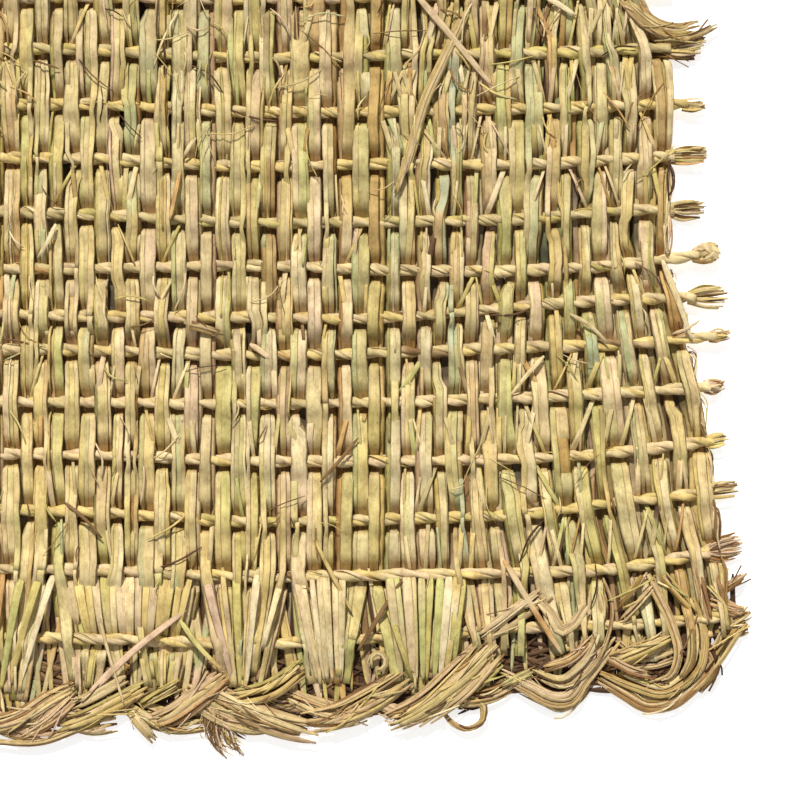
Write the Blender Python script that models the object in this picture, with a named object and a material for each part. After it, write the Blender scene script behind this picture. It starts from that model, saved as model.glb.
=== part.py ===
"""A coarse grass mat that lies flat.

Grass bundles are woven over one twisted grass cord and under the next, and neighbouring bundles
alternate. At both ends the bundles are gathered in groups and run into a plaited border.

Sizes and places are in millimetres until they reach a mesh. Places are measured on the mat from
a mark near its upper left corner: x to the right along the cords, y down along the bundles.
In the model X runs along the cords, +Y towards the upper border, and the underside is at Z = 0.
"""

import math
import random

import bmesh
import bpy
from mathutils import Vector

MM = 0.001
SEED = 11

GAP = 0.3  # between pieces that touch
BUNDLE_THICK = 2.4
BUNDLE_CROWN = 0.8  # how far each upper edge of a bundle stands in from the lower one
MOST_CROWN_SHARE = 0.2  # of the bundle's width
BUNDLE_SPREAD = 0.8  # how far a bundle widens on each side over a cord, and narrows below one
BUNDLE_HALF_GAP = 0.25
CROSSING_HALF = 4.0  # a bundle is level this far before and after the middle of a cord
CORD_RADIUS = 3.0
CORD_FLAT_RADIUS = 2.4  # across the groove between a cord's two plies
CORD_Z = BUNDLE_THICK + GAP + CORD_RADIUS
OVER_Z = CORD_Z + CORD_RADIUS + GAP
CORD_STEP = 8.0
CORD_TWIST = math.radians(55)  # turn of the section from one step to the next
CORD_DROOP = 1.2  # how far a free end hangs below the cord
CORD_DROOP_LENGTH = 14.0
CORD_LEFT_TIP = -32.0

LEFT_EDGE = -6.0
BUNDLES = 44
NARROW_BUNDLES = 23
NARROW_PITCH = 7.58
WIDE_PITCH = 7.95
EDGE_WANDER = 0.9  # how unevenly the lines between bundles run

# Each cord: y at the stations, then where its right end is, half the width of that end, and its form.
CORD_STATIONS = (-32, 45, 125, 200, 265, 315)
CORDS = (
    # y at the stations, tip x, tip y, half width, form
    ((-2.0, -2.0, -1.0, -2.5, -4.0, -5.0), 340.0, -6.5, 3.6, "cut"),
    ((23.5, 24.5, 28.5, 27.0, 26.0, 24.5), 354.0, 20.5, 7.0, "tuft"),
    ((51.5, 52.0, 55.5, 55.5, 54.0, 52.5), 354.0, 51.5, 3.6, "cut"),
    ((78.5, 79.0, 83.0, 81.5, 82.0, 79.0), 356.0, 77.0, 4.4, "tuft"),
    ((104.5, 107.0, 111.0, 110.5, 109.0, 105.0), 354.0, 104.5, 4.6, "tuft"),
    ((133.5, 134.0, 132.5, 135.0, 135.0, 131.5), 361.0, 125.5, 5.6, "knot"),
    ((155.5, 158.0, 158.5, 158.5, 152.5, 149.5), 365.5, 148.0, 5.2, "tuft"),
    ((174.5, 175.0, 177.5, 176.0, 173.5, 172.0), 366.5, 167.0, 3.4, "cut"),
    ((201.0, 201.0, 202.0, 201.0, 198.5, 196.0), 365.0, 192.5, 3.8, "cut"),
    ((227.0, 227.5, 230.5, 230.5, 229.5, 225.5), 365.5, 219.0, 3.8, "cut"),
    ((255.0, 256.0, 261.0, 259.5, 257.0, 250.5), 371.5, 244.5, 4.6, "tuft"),
    ((285.5, 285.0, 288.5, 287.5, 286.5, 283.5), 373.0, 272.5, 6.8, "tuft"),
    ((319.5, 319.5, 322.0, 318.5, 314.0, 312.5), 376.0, 307.5, 5.6, "tuft"),
)

# The end forms: how far before the tip, and how much of its end's size the cord has there.
END_FORMS = {
    "cut": ((12.0, 0.0), (5.0, 0.7), (0.0, 1.0)),
    "tuft": ((13.0, 0.0), (7.0, 0.7), (0.0, 1.0)),
    "knot": ((16.0, 0.0), (10.0, 0.9), (4.0, 1.0), (0.0, 0.2)),
}
END_THICK_SHARE = 0.1  # an end spreads sideways, and only this much of it upwards

# The bundles' lean in the right part: how far lines that stand at these x have moved to the right.
LEAN_LINES = (200, 225, 260, 290, 315, 335)
LEAN = (
    # y, shift of each line
    (-30, (0, 0, 0, -3, -14, -26)),
    (-4, (0, 0, 0, -2, -10, -18)),
    (24, (0, 0, 0, 0, -1, -2)),
    (80, (0, 0, 0, 0, 0, 0)),
    (125, (0, 0, 0, 0, 0, 0)),
    (170, (0, 0, 1, 3, 6, 10)),
    (215, (0, 0, 2, 7, 13, 20)),
    (260, (0, 1, 6, 12, 19, 24)),
    (290, (0, 3, 11, 20, 27, 30)),
    (320, (0, 5, 16, 26, 31, 33)),
)
MOST_CROSSING_WIDTH = 8.0  # before the spread: where the lines part more, the weave is open

# Places where the grass is thin and the weave is open: line between bundles, cord, width of the gap.
OPEN_SPOTS = (
    # line, cord, gap
    (29, 0, 5.0),
    (42, 4, 5.0),
    (38, 3, 4.6),
    (36, 5, 4.4),
    (17, 1, 4.4),
    (8, 7, 4.6),
    (12, 6, 4.4),
    (31, 9, 4.4),
    (40, 8, 4.8),
    (4, 10, 4.4),
)

GATHER_SHARE = 0.3  # how narrow a gathered group of bundles gets
GATHER_LENGTH = 20.0  # the length in which it does
GATHERED_THICK = 4.6
GATHERED_Z = 2.6
GATHER_HALF_GAP = 0.15
LOWER_GATHERS = (7.5, 40, 80.5, 119, 165, 207, 250.5, 288, 327, 358)
UPPER_GATHERS = (17.5, 59, 100, 141.5, 183, 224.5, 266, 300)
BORDER_GAP = 0.4

# The lower border's sections, from left to right: its outer edge and its inner edge.
LOWER_BORDER = (
    # outer x, outer y, inner x, inner y
    (-17.0, 362.0, -15.0, 353.0),
    (-7.5, 371.5, -6.0, 347.0),
    (10.0, 373.0, 9.0, 346.0),
    (27.0, 371.0, 28.0, 345.0),
    (43.5, 373.5, 45.0, 344.5),
    (62.5, 360.0, 62.0, 343.5),
    (79.0, 369.0, 79.0, 344.0),
    (99.5, 361.5, 99.0, 344.0),
    (114.0, 367.5, 116.0, 343.5),
    (137.5, 366.5, 136.0, 341.5),
    (158.0, 368.5, 161.0, 339.5),
    (184.0, 359.5, 183.0, 340.0),
    (207.0, 362.5, 205.0, 341.0),
    (227.5, 363.5, 226.0, 334.0),
    (240.0, 357.5, 239.0, 328.0),
    (253.5, 346.0, 251.0, 326.0),
    (267.5, 350.0, 265.0, 324.0),
    (281.0, 355.5, 278.0, 323.5),
    (294.5, 348.0, 292.0, 323.5),
    (310.0, 352.0, 306.0, 325.0),
    (325.0, 355.5, 322.0, 327.0),
    (343.5, 349.0, 336.0, 326.5),
    (356.5, 333.5, 349.0, 323.0),
    (368.0, 322.5, 362.0, 319.0),
)

# The upper border is even: one rule gives its sections.
UPPER_BORDER_LEFT = -17.0
UPPER_BORDER_RIGHT = 326.0
UPPER_BORDER_OUTER = -29.5
UPPER_BORDER_INNER = -14.0
UPPER_BORDER_WAVE = 2.2
UPPER_BORDER_STEPS = 18
PLAIT_PITCH = 41.5
UPPER_STRAND_HALF_WIDTH = 6.0
UPPER_STRAND_INSET = 3.0  # its ends from the band's edges
UPPER_STRAND_LAP = 5.0  # how far each runs past the next one's start

# A border's section: share of the way from inner to outer edge, and height.
BORDER_SECTION = ((0.12, 0.0), (0.88, 0.0), (1.0, 3.6), (0.8, 6.4), (0.2, 6.4), (0.0, 3.6))

# The plaited strands on top of the lower border, each from its lower end to its upper one.
LOWER_STRANDS = (
    # start x, start y, end x, end y, half width
    (-10.0, 367.0, 36.0, 348.5, 7.0),
    (27.0, 369.0, 72.0, 347.5, 7.5),
    (70.0, 362.0, 111.0, 343.0, 7.5),
    (110.0, 347.0, 156.0, 366.0, 7.0),
    (153.0, 361.0, 199.0, 344.5, 8.5),
    (196.0, 359.5, 244.0, 332.0, 8.5),
    (251.0, 339.0, 284.0, 351.0, 6.5),
    (274.0, 351.5, 299.0, 329.0, 6.5),
    (296.0, 330.0, 328.0, 351.0, 7.0),
    (320.0, 351.0, 350.0, 327.0, 7.5),
)
STRAND_Z = 6.8
STRAND_HALF_THICK = 5.0
STRAND_PROFILE = ((0.0, 0.3), (0.2, 0.8), (0.5, 1.0), (0.8, 0.8), (1.0, 0.3))
STRAND_SIDES = 6

GRASS_COLOURS = (
    (0.62, 0.50, 0.22),
    (0.68, 0.55, 0.29),
    (0.56, 0.50, 0.20),
    (0.64, 0.49, 0.30),
    (0.50, 0.50, 0.28),
)
CORD_COLOUR = (0.58, 0.46, 0.22)
BORDER_COLOUR = (0.60, 0.47, 0.23)
GRASS_ROUGHNESS = 0.75
SHARP_EDGE = math.radians(40)

CENTRE_X = (CORD_LEFT_TIP + max(tip for _, tip, _, _, _ in CORDS)) / 2
CENTRE_Y = (
    UPPER_BORDER_OUTER - UPPER_BORDER_WAVE + max(outer for _, outer, _, _ in LOWER_BORDER)
) / 2


def clear_scene():
    for item in list(bpy.data.objects):
        bpy.data.objects.remove(item, do_unlink=True)


def model_point(x, y, z):
    """A place on the mat, in millimetres, as a point of the model in metres."""
    return Vector(((x - CENTRE_X) * MM, (CENTRE_Y - y) * MM, z * MM))


def straight_between(rows, at):
    """The value at a place in a table of (place, value) rows, in straight steps."""
    if at <= rows[0][0]:
        return rows[0][1]
    for (start, first), (end, second) in zip(rows, rows[1:]):
        if at <= end:
            return first + (second - first) * (at - start) / (end - start)
    return rows[-1][1]


def smooth_between(rows, at):
    """As straight_between, on a smooth curve through the rows."""
    at = min(max(at, rows[0][0]), rows[-1][0])
    slopes = []
    for i in range(len(rows)):
        before = rows[max(i - 1, 0)]
        after = rows[min(i + 1, len(rows) - 1)]
        slopes.append((after[1] - before[1]) / (after[0] - before[0]))
    i = next(i for i in range(len(rows) - 1) if at <= rows[i + 1][0])
    (start, first), (end, second) = rows[i], rows[i + 1]
    span = end - start
    t = (at - start) / span
    return (
        (2 * t**3 - 3 * t**2 + 1) * first
        + (t**3 - 2 * t**2 + t) * span * slopes[i]
        + (3 * t**2 - 2 * t**3) * second
        + (t**3 - t**2) * span * slopes[i + 1]
    )


def ease(x, start, end):
    """0 before start, 1 after end, and a smooth rise between them."""
    t = min(max((x - start) / (end - start), 0.0), 1.0)
    return t * t * (3 - 2 * t)


def grass_material(name, colour):
    material = bpy.data.materials.new(name)
    material.use_nodes = True
    shader = material.node_tree.nodes["Principled BSDF"]
    shader.inputs["Base Color"].default_value = (*colour, 1.0)
    shader.inputs["Roughness"].default_value = GRASS_ROUGHNESS
    shader.inputs["Metallic"].default_value = 0.0
    return material


def loft(name, rings, colour):
    """One closed solid through rings of points, all with the same number of points."""
    mesh = bpy.data.meshes.new(name)
    shape = bmesh.new()
    loops = [[shape.verts.new(point) for point in ring] for ring in rings]
    for one, other in zip(loops, loops[1:]):
        for i in range(len(one)):
            k = (i + 1) % len(one)
            shape.faces.new((one[i], one[k], other[k], other[i]))
    shape.faces.new(loops[0])
    shape.faces.new(loops[-1])
    bmesh.ops.recalc_face_normals(shape, faces=shape.faces)
    shape.to_mesh(mesh)
    shape.free()
    mesh.shade_smooth()
    mesh.set_sharp_from_angle(angle=SHARP_EDGE)
    mesh.materials.append(grass_material(name, colour))
    solid = bpy.data.objects.new(name, mesh)
    bpy.context.scene.collection.objects.link(solid)
    return solid


def cord_rows(cord):
    """The cord's (x, y) rows: its stations, then its right tip."""
    heights, tip_x, tip_y, _, _ = CORDS[cord]
    return (*zip(CORD_STATIONS, heights), (tip_x, tip_y))


def cord_y(cord, x):
    return smooth_between(cord_rows(cord), x)


def cord_end_share(cord, x):
    """How much of its end's form a cord has at x: 0 along the weave."""
    _, tip_x, _, _, form = CORDS[cord]
    rows = sorted((tip_x - before, share) for before, share in END_FORMS[form])
    return straight_between(rows, x)


def cord_places(cord):
    """Where the cord's sections stand along x."""
    _, tip_x, _, _, form = CORDS[cord]
    end_start = tip_x - END_FORMS[form][0][0]
    steps = round((end_start - CORD_LEFT_TIP) / CORD_STEP)
    body = [CORD_LEFT_TIP + i * (end_start - CORD_LEFT_TIP) / steps for i in range(steps)]
    return body + [tip_x - before for before, _ in END_FORMS[form]]


def cord_section(cord, x, turn):
    """Four points around the cord: two plies side by side, turned by the twist."""
    _, tip_x, _, end_half, _ = CORDS[cord]
    share = cord_end_share(cord, x)
    wide = 1 + share * (end_half / CORD_RADIUS - 1)
    thick = 1 + share * END_THICK_SHARE * (end_half / CORD_RADIUS - 1)
    right_droop = ease(x, tip_x - CORD_DROOP_LENGTH, tip_x)
    left_droop = 1 - ease(x, CORD_LEFT_TIP, CORD_LEFT_TIP + CORD_DROOP_LENGTH)
    z = CORD_Z - CORD_DROOP * (left_droop + right_droop)
    y = cord_y(cord, x)
    points = []
    for i in range(4):
        angle = turn + i * math.pi / 2
        radius = CORD_FLAT_RADIUS if i % 2 else CORD_RADIUS
        points.append(
            model_point(x, y + wide * radius * math.cos(angle), z + thick * radius * math.sin(angle))
        )
    return points


def make_cord(cord):
    places = cord_places(cord)
    rings = [cord_section(cord, x, (cord + i) * CORD_TWIST) for i, x in enumerate(places)]
    return loft(f"cord_{cord:02d}", rings, CORD_COLOUR)


def line_at(line, y):
    """x of the line between two bundles, without its wander: the weave leans at the right."""
    narrow = min(line, NARROW_BUNDLES)
    x = LEFT_EDGE + narrow * NARROW_PITCH + (line - narrow) * WIDE_PITCH
    shifts = [
        (at, smooth_between([(row_y, moved[i]) for row_y, moved in LEAN], y))
        for i, at in enumerate(LEAN_LINES)
    ]
    return x + smooth_between(shifts, x)


def wander_table():
    """For each line between bundles and each cord, how far the line strays to the right."""
    chance = random.Random(SEED)
    return [
        [chance.uniform(-EDGE_WANDER, EDGE_WANDER) for _ in CORDS] for _ in range(BUNDLES + 1)
    ]


def half_gap_at(line, cord):
    for open_line, open_cord, gap in OPEN_SPOTS:
        if (line, cord) == (open_line, open_cord):
            return gap / 2
    return BUNDLE_HALF_GAP


def bundle_is_over(bundle, cord):
    return (bundle + cord) % 2 == 0


def bundle_section(left, right, y, z, thick):
    crown = min(BUNDLE_CROWN, MOST_CROWN_SHARE * (right - left))
    return (
        model_point(left, y, z),
        model_point(right, y, z),
        model_point(right - crown, y, z + thick),
        model_point(left + crown, y, z + thick),
    )


def crossing_sides(bundle, cord, y, wander):
    """The bundle's left and right side where it crosses a cord."""
    spread = BUNDLE_SPREAD if bundle_is_over(bundle, cord) else -BUNDLE_SPREAD
    left = line_at(bundle - 1, y) + wander[bundle - 1][cord] + half_gap_at(bundle - 1, cord)
    right = line_at(bundle, y) + wander[bundle][cord] - half_gap_at(bundle, cord)
    middle = (left + right) / 2
    half_width = min(right - left, MOST_CROSSING_WIDTH) / 2 + spread
    return middle - half_width, middle + half_width


def crossing_y(bundle, cord):
    """y where the bundle's middle meets the cord."""
    y = CORDS[cord][0][0]
    for _ in range(3):
        y = cord_y(cord, (line_at(bundle - 1, y) + line_at(bundle, y)) / 2)
    return y


def edge_y(edge, left, right, pick):
    """The y of a border's inner edge that a bundle's end, from left to right, meets first."""
    inside = [y for x, y in edge if left < x < right]
    return pick([straight_between(edge, left), straight_between(edge, right), *inside])


def gathered_section(bundle, gathers, edge, from_y, away):
    """The end of a bundle at a border. away is 1 at the lower border and -1 at the upper one."""
    left = line_at(bundle - 1, from_y)
    right = line_at(bundle, from_y)
    middle = min(gathers, key=lambda gather: abs(gather - (left + right) / 2))
    length = abs(straight_between(edge, (left + right) / 2) - from_y)
    share = 1 - (1 - GATHER_SHARE) * min(length / GATHER_LENGTH, 1)
    left = middle + (left - middle) * share + GATHER_HALF_GAP
    right = middle + (right - middle) * share - GATHER_HALF_GAP
    pick = min if away > 0 else max
    y = edge_y(edge, left, right, pick) - away * BORDER_GAP
    return bundle_section(left, right, y, GATHERED_Z, GATHERED_THICK)


def upper_border_sections():
    """Rows like LOWER_BORDER's, with an outer edge that waves with the plait."""
    rows = []
    for i in range(UPPER_BORDER_STEPS + 1):
        t = i / UPPER_BORDER_STEPS
        x = UPPER_BORDER_LEFT + t * (UPPER_BORDER_RIGHT - UPPER_BORDER_LEFT)
        outer = UPPER_BORDER_OUTER + UPPER_BORDER_WAVE * math.cos(2 * math.pi * x / PLAIT_PITCH)
        if i in (0, UPPER_BORDER_STEPS):
            outer = (outer + UPPER_BORDER_INNER) / 2
        rows.append((x, outer, x, UPPER_BORDER_INNER))
    return rows


def upper_strands():
    """Rows like LOWER_STRANDS', one for each pitch of the plait."""
    rows = []
    lower_y = UPPER_BORDER_INNER - UPPER_STRAND_INSET
    upper_y = UPPER_BORDER_OUTER + UPPER_STRAND_INSET
    start = UPPER_BORDER_LEFT + UPPER_STRAND_LAP
    while start + PLAIT_PITCH < UPPER_BORDER_RIGHT:
        end = start + PLAIT_PITCH + UPPER_STRAND_LAP
        rows.append((start, lower_y, end, upper_y, UPPER_STRAND_HALF_WIDTH))
        start += PLAIT_PITCH
    return rows


def inner_edge(sections):
    return [(inner_x, inner_y) for _, _, inner_x, inner_y in sections]


def make_bundle(bundle, wander, lower_edge, upper_edge):
    rings = []
    for cord in range(len(CORDS)):
        z = OVER_Z if bundle_is_over(bundle, cord) else 0.0
        middle = crossing_y(bundle, cord)
        for y in (middle - CROSSING_HALF, middle + CROSSING_HALF):
            left, right = crossing_sides(bundle, cord, y, wander)
            rings.append(bundle_section(left, right, y, z, BUNDLE_THICK))
    first = crossing_y(bundle, 0) - CROSSING_HALF
    last = crossing_y(bundle, len(CORDS) - 1) + CROSSING_HALF
    rings.insert(0, gathered_section(bundle, UPPER_GATHERS, upper_edge, first, -1))
    rings.append(gathered_section(bundle, LOWER_GATHERS, lower_edge, last, 1))
    colour = GRASS_COLOURS[bundle % len(GRASS_COLOURS)]
    return loft(f"bundle_{bundle:02d}", rings, colour)


def strand_rings(row):
    """A spindle from its start to its end, round in section and flat above and below."""
    start_x, start_y, end_x, end_y, half_width = row
    along = Vector((end_x - start_x, end_y - start_y)).normalized()
    across = Vector((-along.y, along.x))
    rings = []
    for t, share in STRAND_PROFILE:
        middle = Vector((start_x, start_y)).lerp(Vector((end_x, end_y)), t)
        ring = []
        for i in range(STRAND_SIDES):
            angle = 2 * math.pi * i / STRAND_SIDES
            place = middle + across * half_width * share * math.cos(angle)
            z = STRAND_Z + STRAND_HALF_THICK * share * math.sin(angle)
            ring.append(model_point(place.x, place.y, z))
        rings.append(ring)
    return rings


def make_border(name, sections, strands):
    """A flat-bottomed band with the plait's strands joined to its top."""
    rings = []
    for outer_x, outer_y, inner_x, inner_y in sections:
        rings.append(
            [
                model_point(inner_x + t * (outer_x - inner_x), inner_y + t * (outer_y - inner_y), z)
                for t, z in BORDER_SECTION
            ]
        )
    border = loft(name, rings, BORDER_COLOUR)
    for i, row in enumerate(strands):
        strand = loft(f"{name}_strand_{i:02d}", strand_rings(row), BORDER_COLOUR)
        strand.hide_render = True
        strand.display_type = "WIRE"
        join = border.modifiers.new(f"strand_{i:02d}", "BOOLEAN")
        join.operation = "UNION"
        join.solver = "MANIFOLD"
        join.object = strand
    return border


def main():
    clear_scene()
    upper_sections = upper_border_sections()
    wander = wander_table()
    for cord in range(len(CORDS)):
        make_cord(cord)
    for bundle in range(1, BUNDLES + 1):
        make_bundle(bundle, wander, inner_edge(LOWER_BORDER), inner_edge(upper_sections))
    make_border("border_bottom", LOWER_BORDER, LOWER_STRANDS)
    make_border("border_top", upper_sections, upper_strands())


main()
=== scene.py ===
"""How the grass mat looks: every bundle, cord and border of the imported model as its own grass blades.

Lengths here are in millimetres until a mesh is made. Courses, widths and heights of bundles and cords
are read from the frame's solids. Places of single blades and of the plait's locks are written as on the
mat: x to the right and y down from a mark near its upper left corner, which is MARK in the model's frame.
"""

import math

import bpy
import numpy as np
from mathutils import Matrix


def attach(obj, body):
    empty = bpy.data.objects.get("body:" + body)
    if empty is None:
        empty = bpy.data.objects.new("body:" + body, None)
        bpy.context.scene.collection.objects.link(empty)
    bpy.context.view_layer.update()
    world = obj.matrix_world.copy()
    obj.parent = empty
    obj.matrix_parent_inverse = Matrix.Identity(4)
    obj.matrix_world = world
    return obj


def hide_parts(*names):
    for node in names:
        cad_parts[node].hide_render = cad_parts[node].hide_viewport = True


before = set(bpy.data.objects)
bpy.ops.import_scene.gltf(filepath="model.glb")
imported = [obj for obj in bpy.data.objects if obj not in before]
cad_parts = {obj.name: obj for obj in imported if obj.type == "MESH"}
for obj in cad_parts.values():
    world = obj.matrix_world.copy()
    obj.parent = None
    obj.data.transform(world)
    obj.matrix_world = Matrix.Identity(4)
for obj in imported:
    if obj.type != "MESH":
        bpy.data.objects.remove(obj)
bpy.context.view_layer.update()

MM = 0.001
SEED = 20
MARK = np.array((-172.0, 170.9))

BUNDLES = sorted(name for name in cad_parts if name.startswith("bundle"))
CORDS = sorted(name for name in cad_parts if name.startswith("cord"))
GATHER_CORD = 11  # below this cord the bundles run straight to their gathers
LAST_CORD = 12

UNDER_Z = 1.3  # the middle of a bundle where it passes below a cord
OVER_Z = 10.2  # and where it passes over one
FLOOR_GAP = 0.15

BUNDLES_PER_PIECE = 4
CORDS_PER_PIECE = 4
# Between one ring of a swept blade and the next.
BLADE_STEP = 2.8
CORD_STEP = 1.8
LOCK_STEP = 2.8
STRIP_GAP = 0.6  # between two blades' strips on a piece's map

# A section's points: across as a share of the half width, and height as a share of the half thickness.
BLADE_SECTION = np.array(
    ((-1.0, 0.0), (-0.65, 0.8), (0.05, 0.75), (0.7, 0.85), (1.0, 0.0), (0.5, -0.7), (0, -0.6), (-0.5, -0.7))
)
STALK_SECTION = np.array(((-1.0, 0.0), (-0.5, 0.9), (0.5, 0.9), (1.0, 0.0), (0.5, -0.9), (-0.5, -0.9)))


def linear(shade):
    """A colour written as six hex digits, as the light it stands for."""
    parts = [int(shade[i : i + 2], 16) / 255 for i in (0, 2, 4)]
    return np.array([c / 12.92 if c <= 0.04045 else ((c + 0.055) / 1.055) ** 2.4 for c in parts])


# Dry grass: its shades by name, and for each use of it how common each shade is.
SHADES = {
    "straw": "e6d29c",
    "pale": "ecdcae",
    "gold": "dcc47c",
    "sand": "dfc79a",
    "olive": "cfc073",
    "hay": "cdbb84",
    "green": "c6c47a",
    "grey_green": "bcc08c",
    "blue_green": "b0bc98",
    "pink": "dcbe9c",
    "orange": "d0a768",
    "amber": "b59054",
    "brown": "8c6d45",
    "umber": "694d32",
    "dark": "4e3420",
}
WEAVE = {"straw": 5, "pale": 2.5, "gold": 5, "sand": 3.5, "olive": 4, "hay": 4, "green": 3, "grey_green": 1.5}
WEAVE |= {"pink": 1.3, "orange": 1.2, "amber": 0.6, "brown": 0.2}
FAN = {"straw": 4, "pale": 3, "gold": 4, "olive": 3, "green": 1.5, "sand": 3, "pink": 1}
TWINE = {"straw": 4, "sand": 3, "gold": 3, "hay": 3, "olive": 1, "orange": 0.15, "brown": 0.2}
PLAIT = {"straw": 5, "gold": 4, "sand": 5, "hay": 2, "pink": 2, "orange": 0.6, "olive": 1.5, "brown": 0.5}
SUNNY = {"gold": 6, "straw": 3, "olive": 1, "orange": 0.8, "sand": 2}
BUSH = {"hay": 4, "gold": 3, "sand": 2, "amber": 2, "brown": 2, "umber": 1}
LIGHT = {"pale": 3, "straw": 4, "sand": 2}
YELLOW = {"gold": 4, "olive": 2, "green": 1, "straw": 1}
ROSY = {"pink": 4, "sand": 3, "orange": 1}
RUST = {"orange": 1, "amber": 0.5, "pink": 4, "sand": 2.5, "gold": 1}
MOSSY = {"green": 4, "olive": 2.5, "grey_green": 0.5}
OLD = {"brown": 4, "umber": 3, "amber": 1, "dark": 1.5}
# Dark browns for the lowest blades and stems, as painted shade between bundles and stems.
SHADED_DARKS = {"umber": 3, "dark": 4, "brown": 1}
SHADOW_TINT = np.array((0.52, 0.39, 0.27))  # the painted shadow's brown, for what lies deep in the weave and for shaded stems


def rng(*keys):
    """A stream of random numbers of its own for each use, and for each piece of that use."""
    return np.random.default_rng([SEED, *keys])


def pick_shade(chance, shares):
    weights = np.array(list(shares.values()), float)
    name = list(shares)[chance.choice(len(weights), p=weights / weights.sum())]
    return linear(SHADES[name]) * chance.uniform(0.86, 1.08)


def related_shade(chance, shade, shares):
    """A shade of its own for a blade, which leans to that of its bundle or lock."""
    return 0.3 * shade + 0.7 * pick_shade(chance, shares)


def unit(vectors):
    return vectors / np.maximum(np.linalg.norm(vectors, axis=-1, keepdims=True), 1e-9)


def ease(t):
    t = np.clip(t, 0, 1)
    return t * t * (3 - 2 * t)


def eased(value, start, full):
    """From 0 at start to 1 at full, which may be the smaller one."""
    return ease((value - start) / (full - start))


def smoothed(values, reach):
    """A running mean over reach samples on each side, with the ends held."""
    padded = np.concatenate([np.full(reach, values[0]), values, np.full(reach, values[-1])])
    return np.convolve(padded, np.ones(2 * reach + 1) / (2 * reach + 1), "valid")


def wander(chance, count, spacing, size):
    """A smooth random line of count samples, which turns about every spacing samples."""
    turns = chance.uniform(-size, size, int(count / spacing) + 3)
    places = (np.arange(count) + chance.uniform(0, spacing)) / spacing
    i = places.astype(int)
    t = ease(places - i)
    return turns[i] * (1 - t) + turns[i + 1] * t


def blended(chance, count, one, other):
    """Two shades that take turns along a blade."""
    share = np.clip(0.5 + wander(chance, count, 7, 1.0), 0, 1)[:, None]
    return one * share + other * (1 - share)


def curve(rows, step):
    """Points about a step apart on a smooth curve through the rows, where a repeated row counts once."""
    rows = np.array(rows, float)
    spans = np.linalg.norm(np.diff(rows, axis=0), axis=1)
    rows, spans = rows[np.append(True, spans > 0)], spans[spans > 0]
    at = np.concatenate([[0], np.cumsum(spans)])
    slopes = np.gradient(rows, at, axis=0)
    places = np.linspace(0, at[-1], max(int(at[-1] / step) + 1, 3))
    i = np.clip(np.searchsorted(at, places, "right") - 1, 0, len(spans) - 1)
    span = spans[i][:, None]
    t = (places - at[i])[:, None] / span
    return (
        (2 * t**3 - 3 * t**2 + 1) * rows[i]
        + (t**3 - 2 * t**2 + t) * span * slopes[i]
        + (3 * t**2 - 2 * t**3) * rows[i + 1]
        + (t**3 - t**2) * span * slopes[i + 1]
    )


def on_mat(rows):
    """Places on the mat, each x, y down and z, as points of the model."""
    rows = np.array(rows, float)
    rows[:, 0] += MARK[0]
    rows[:, 1] = MARK[1] - rows[:, 1]
    return rows


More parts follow.
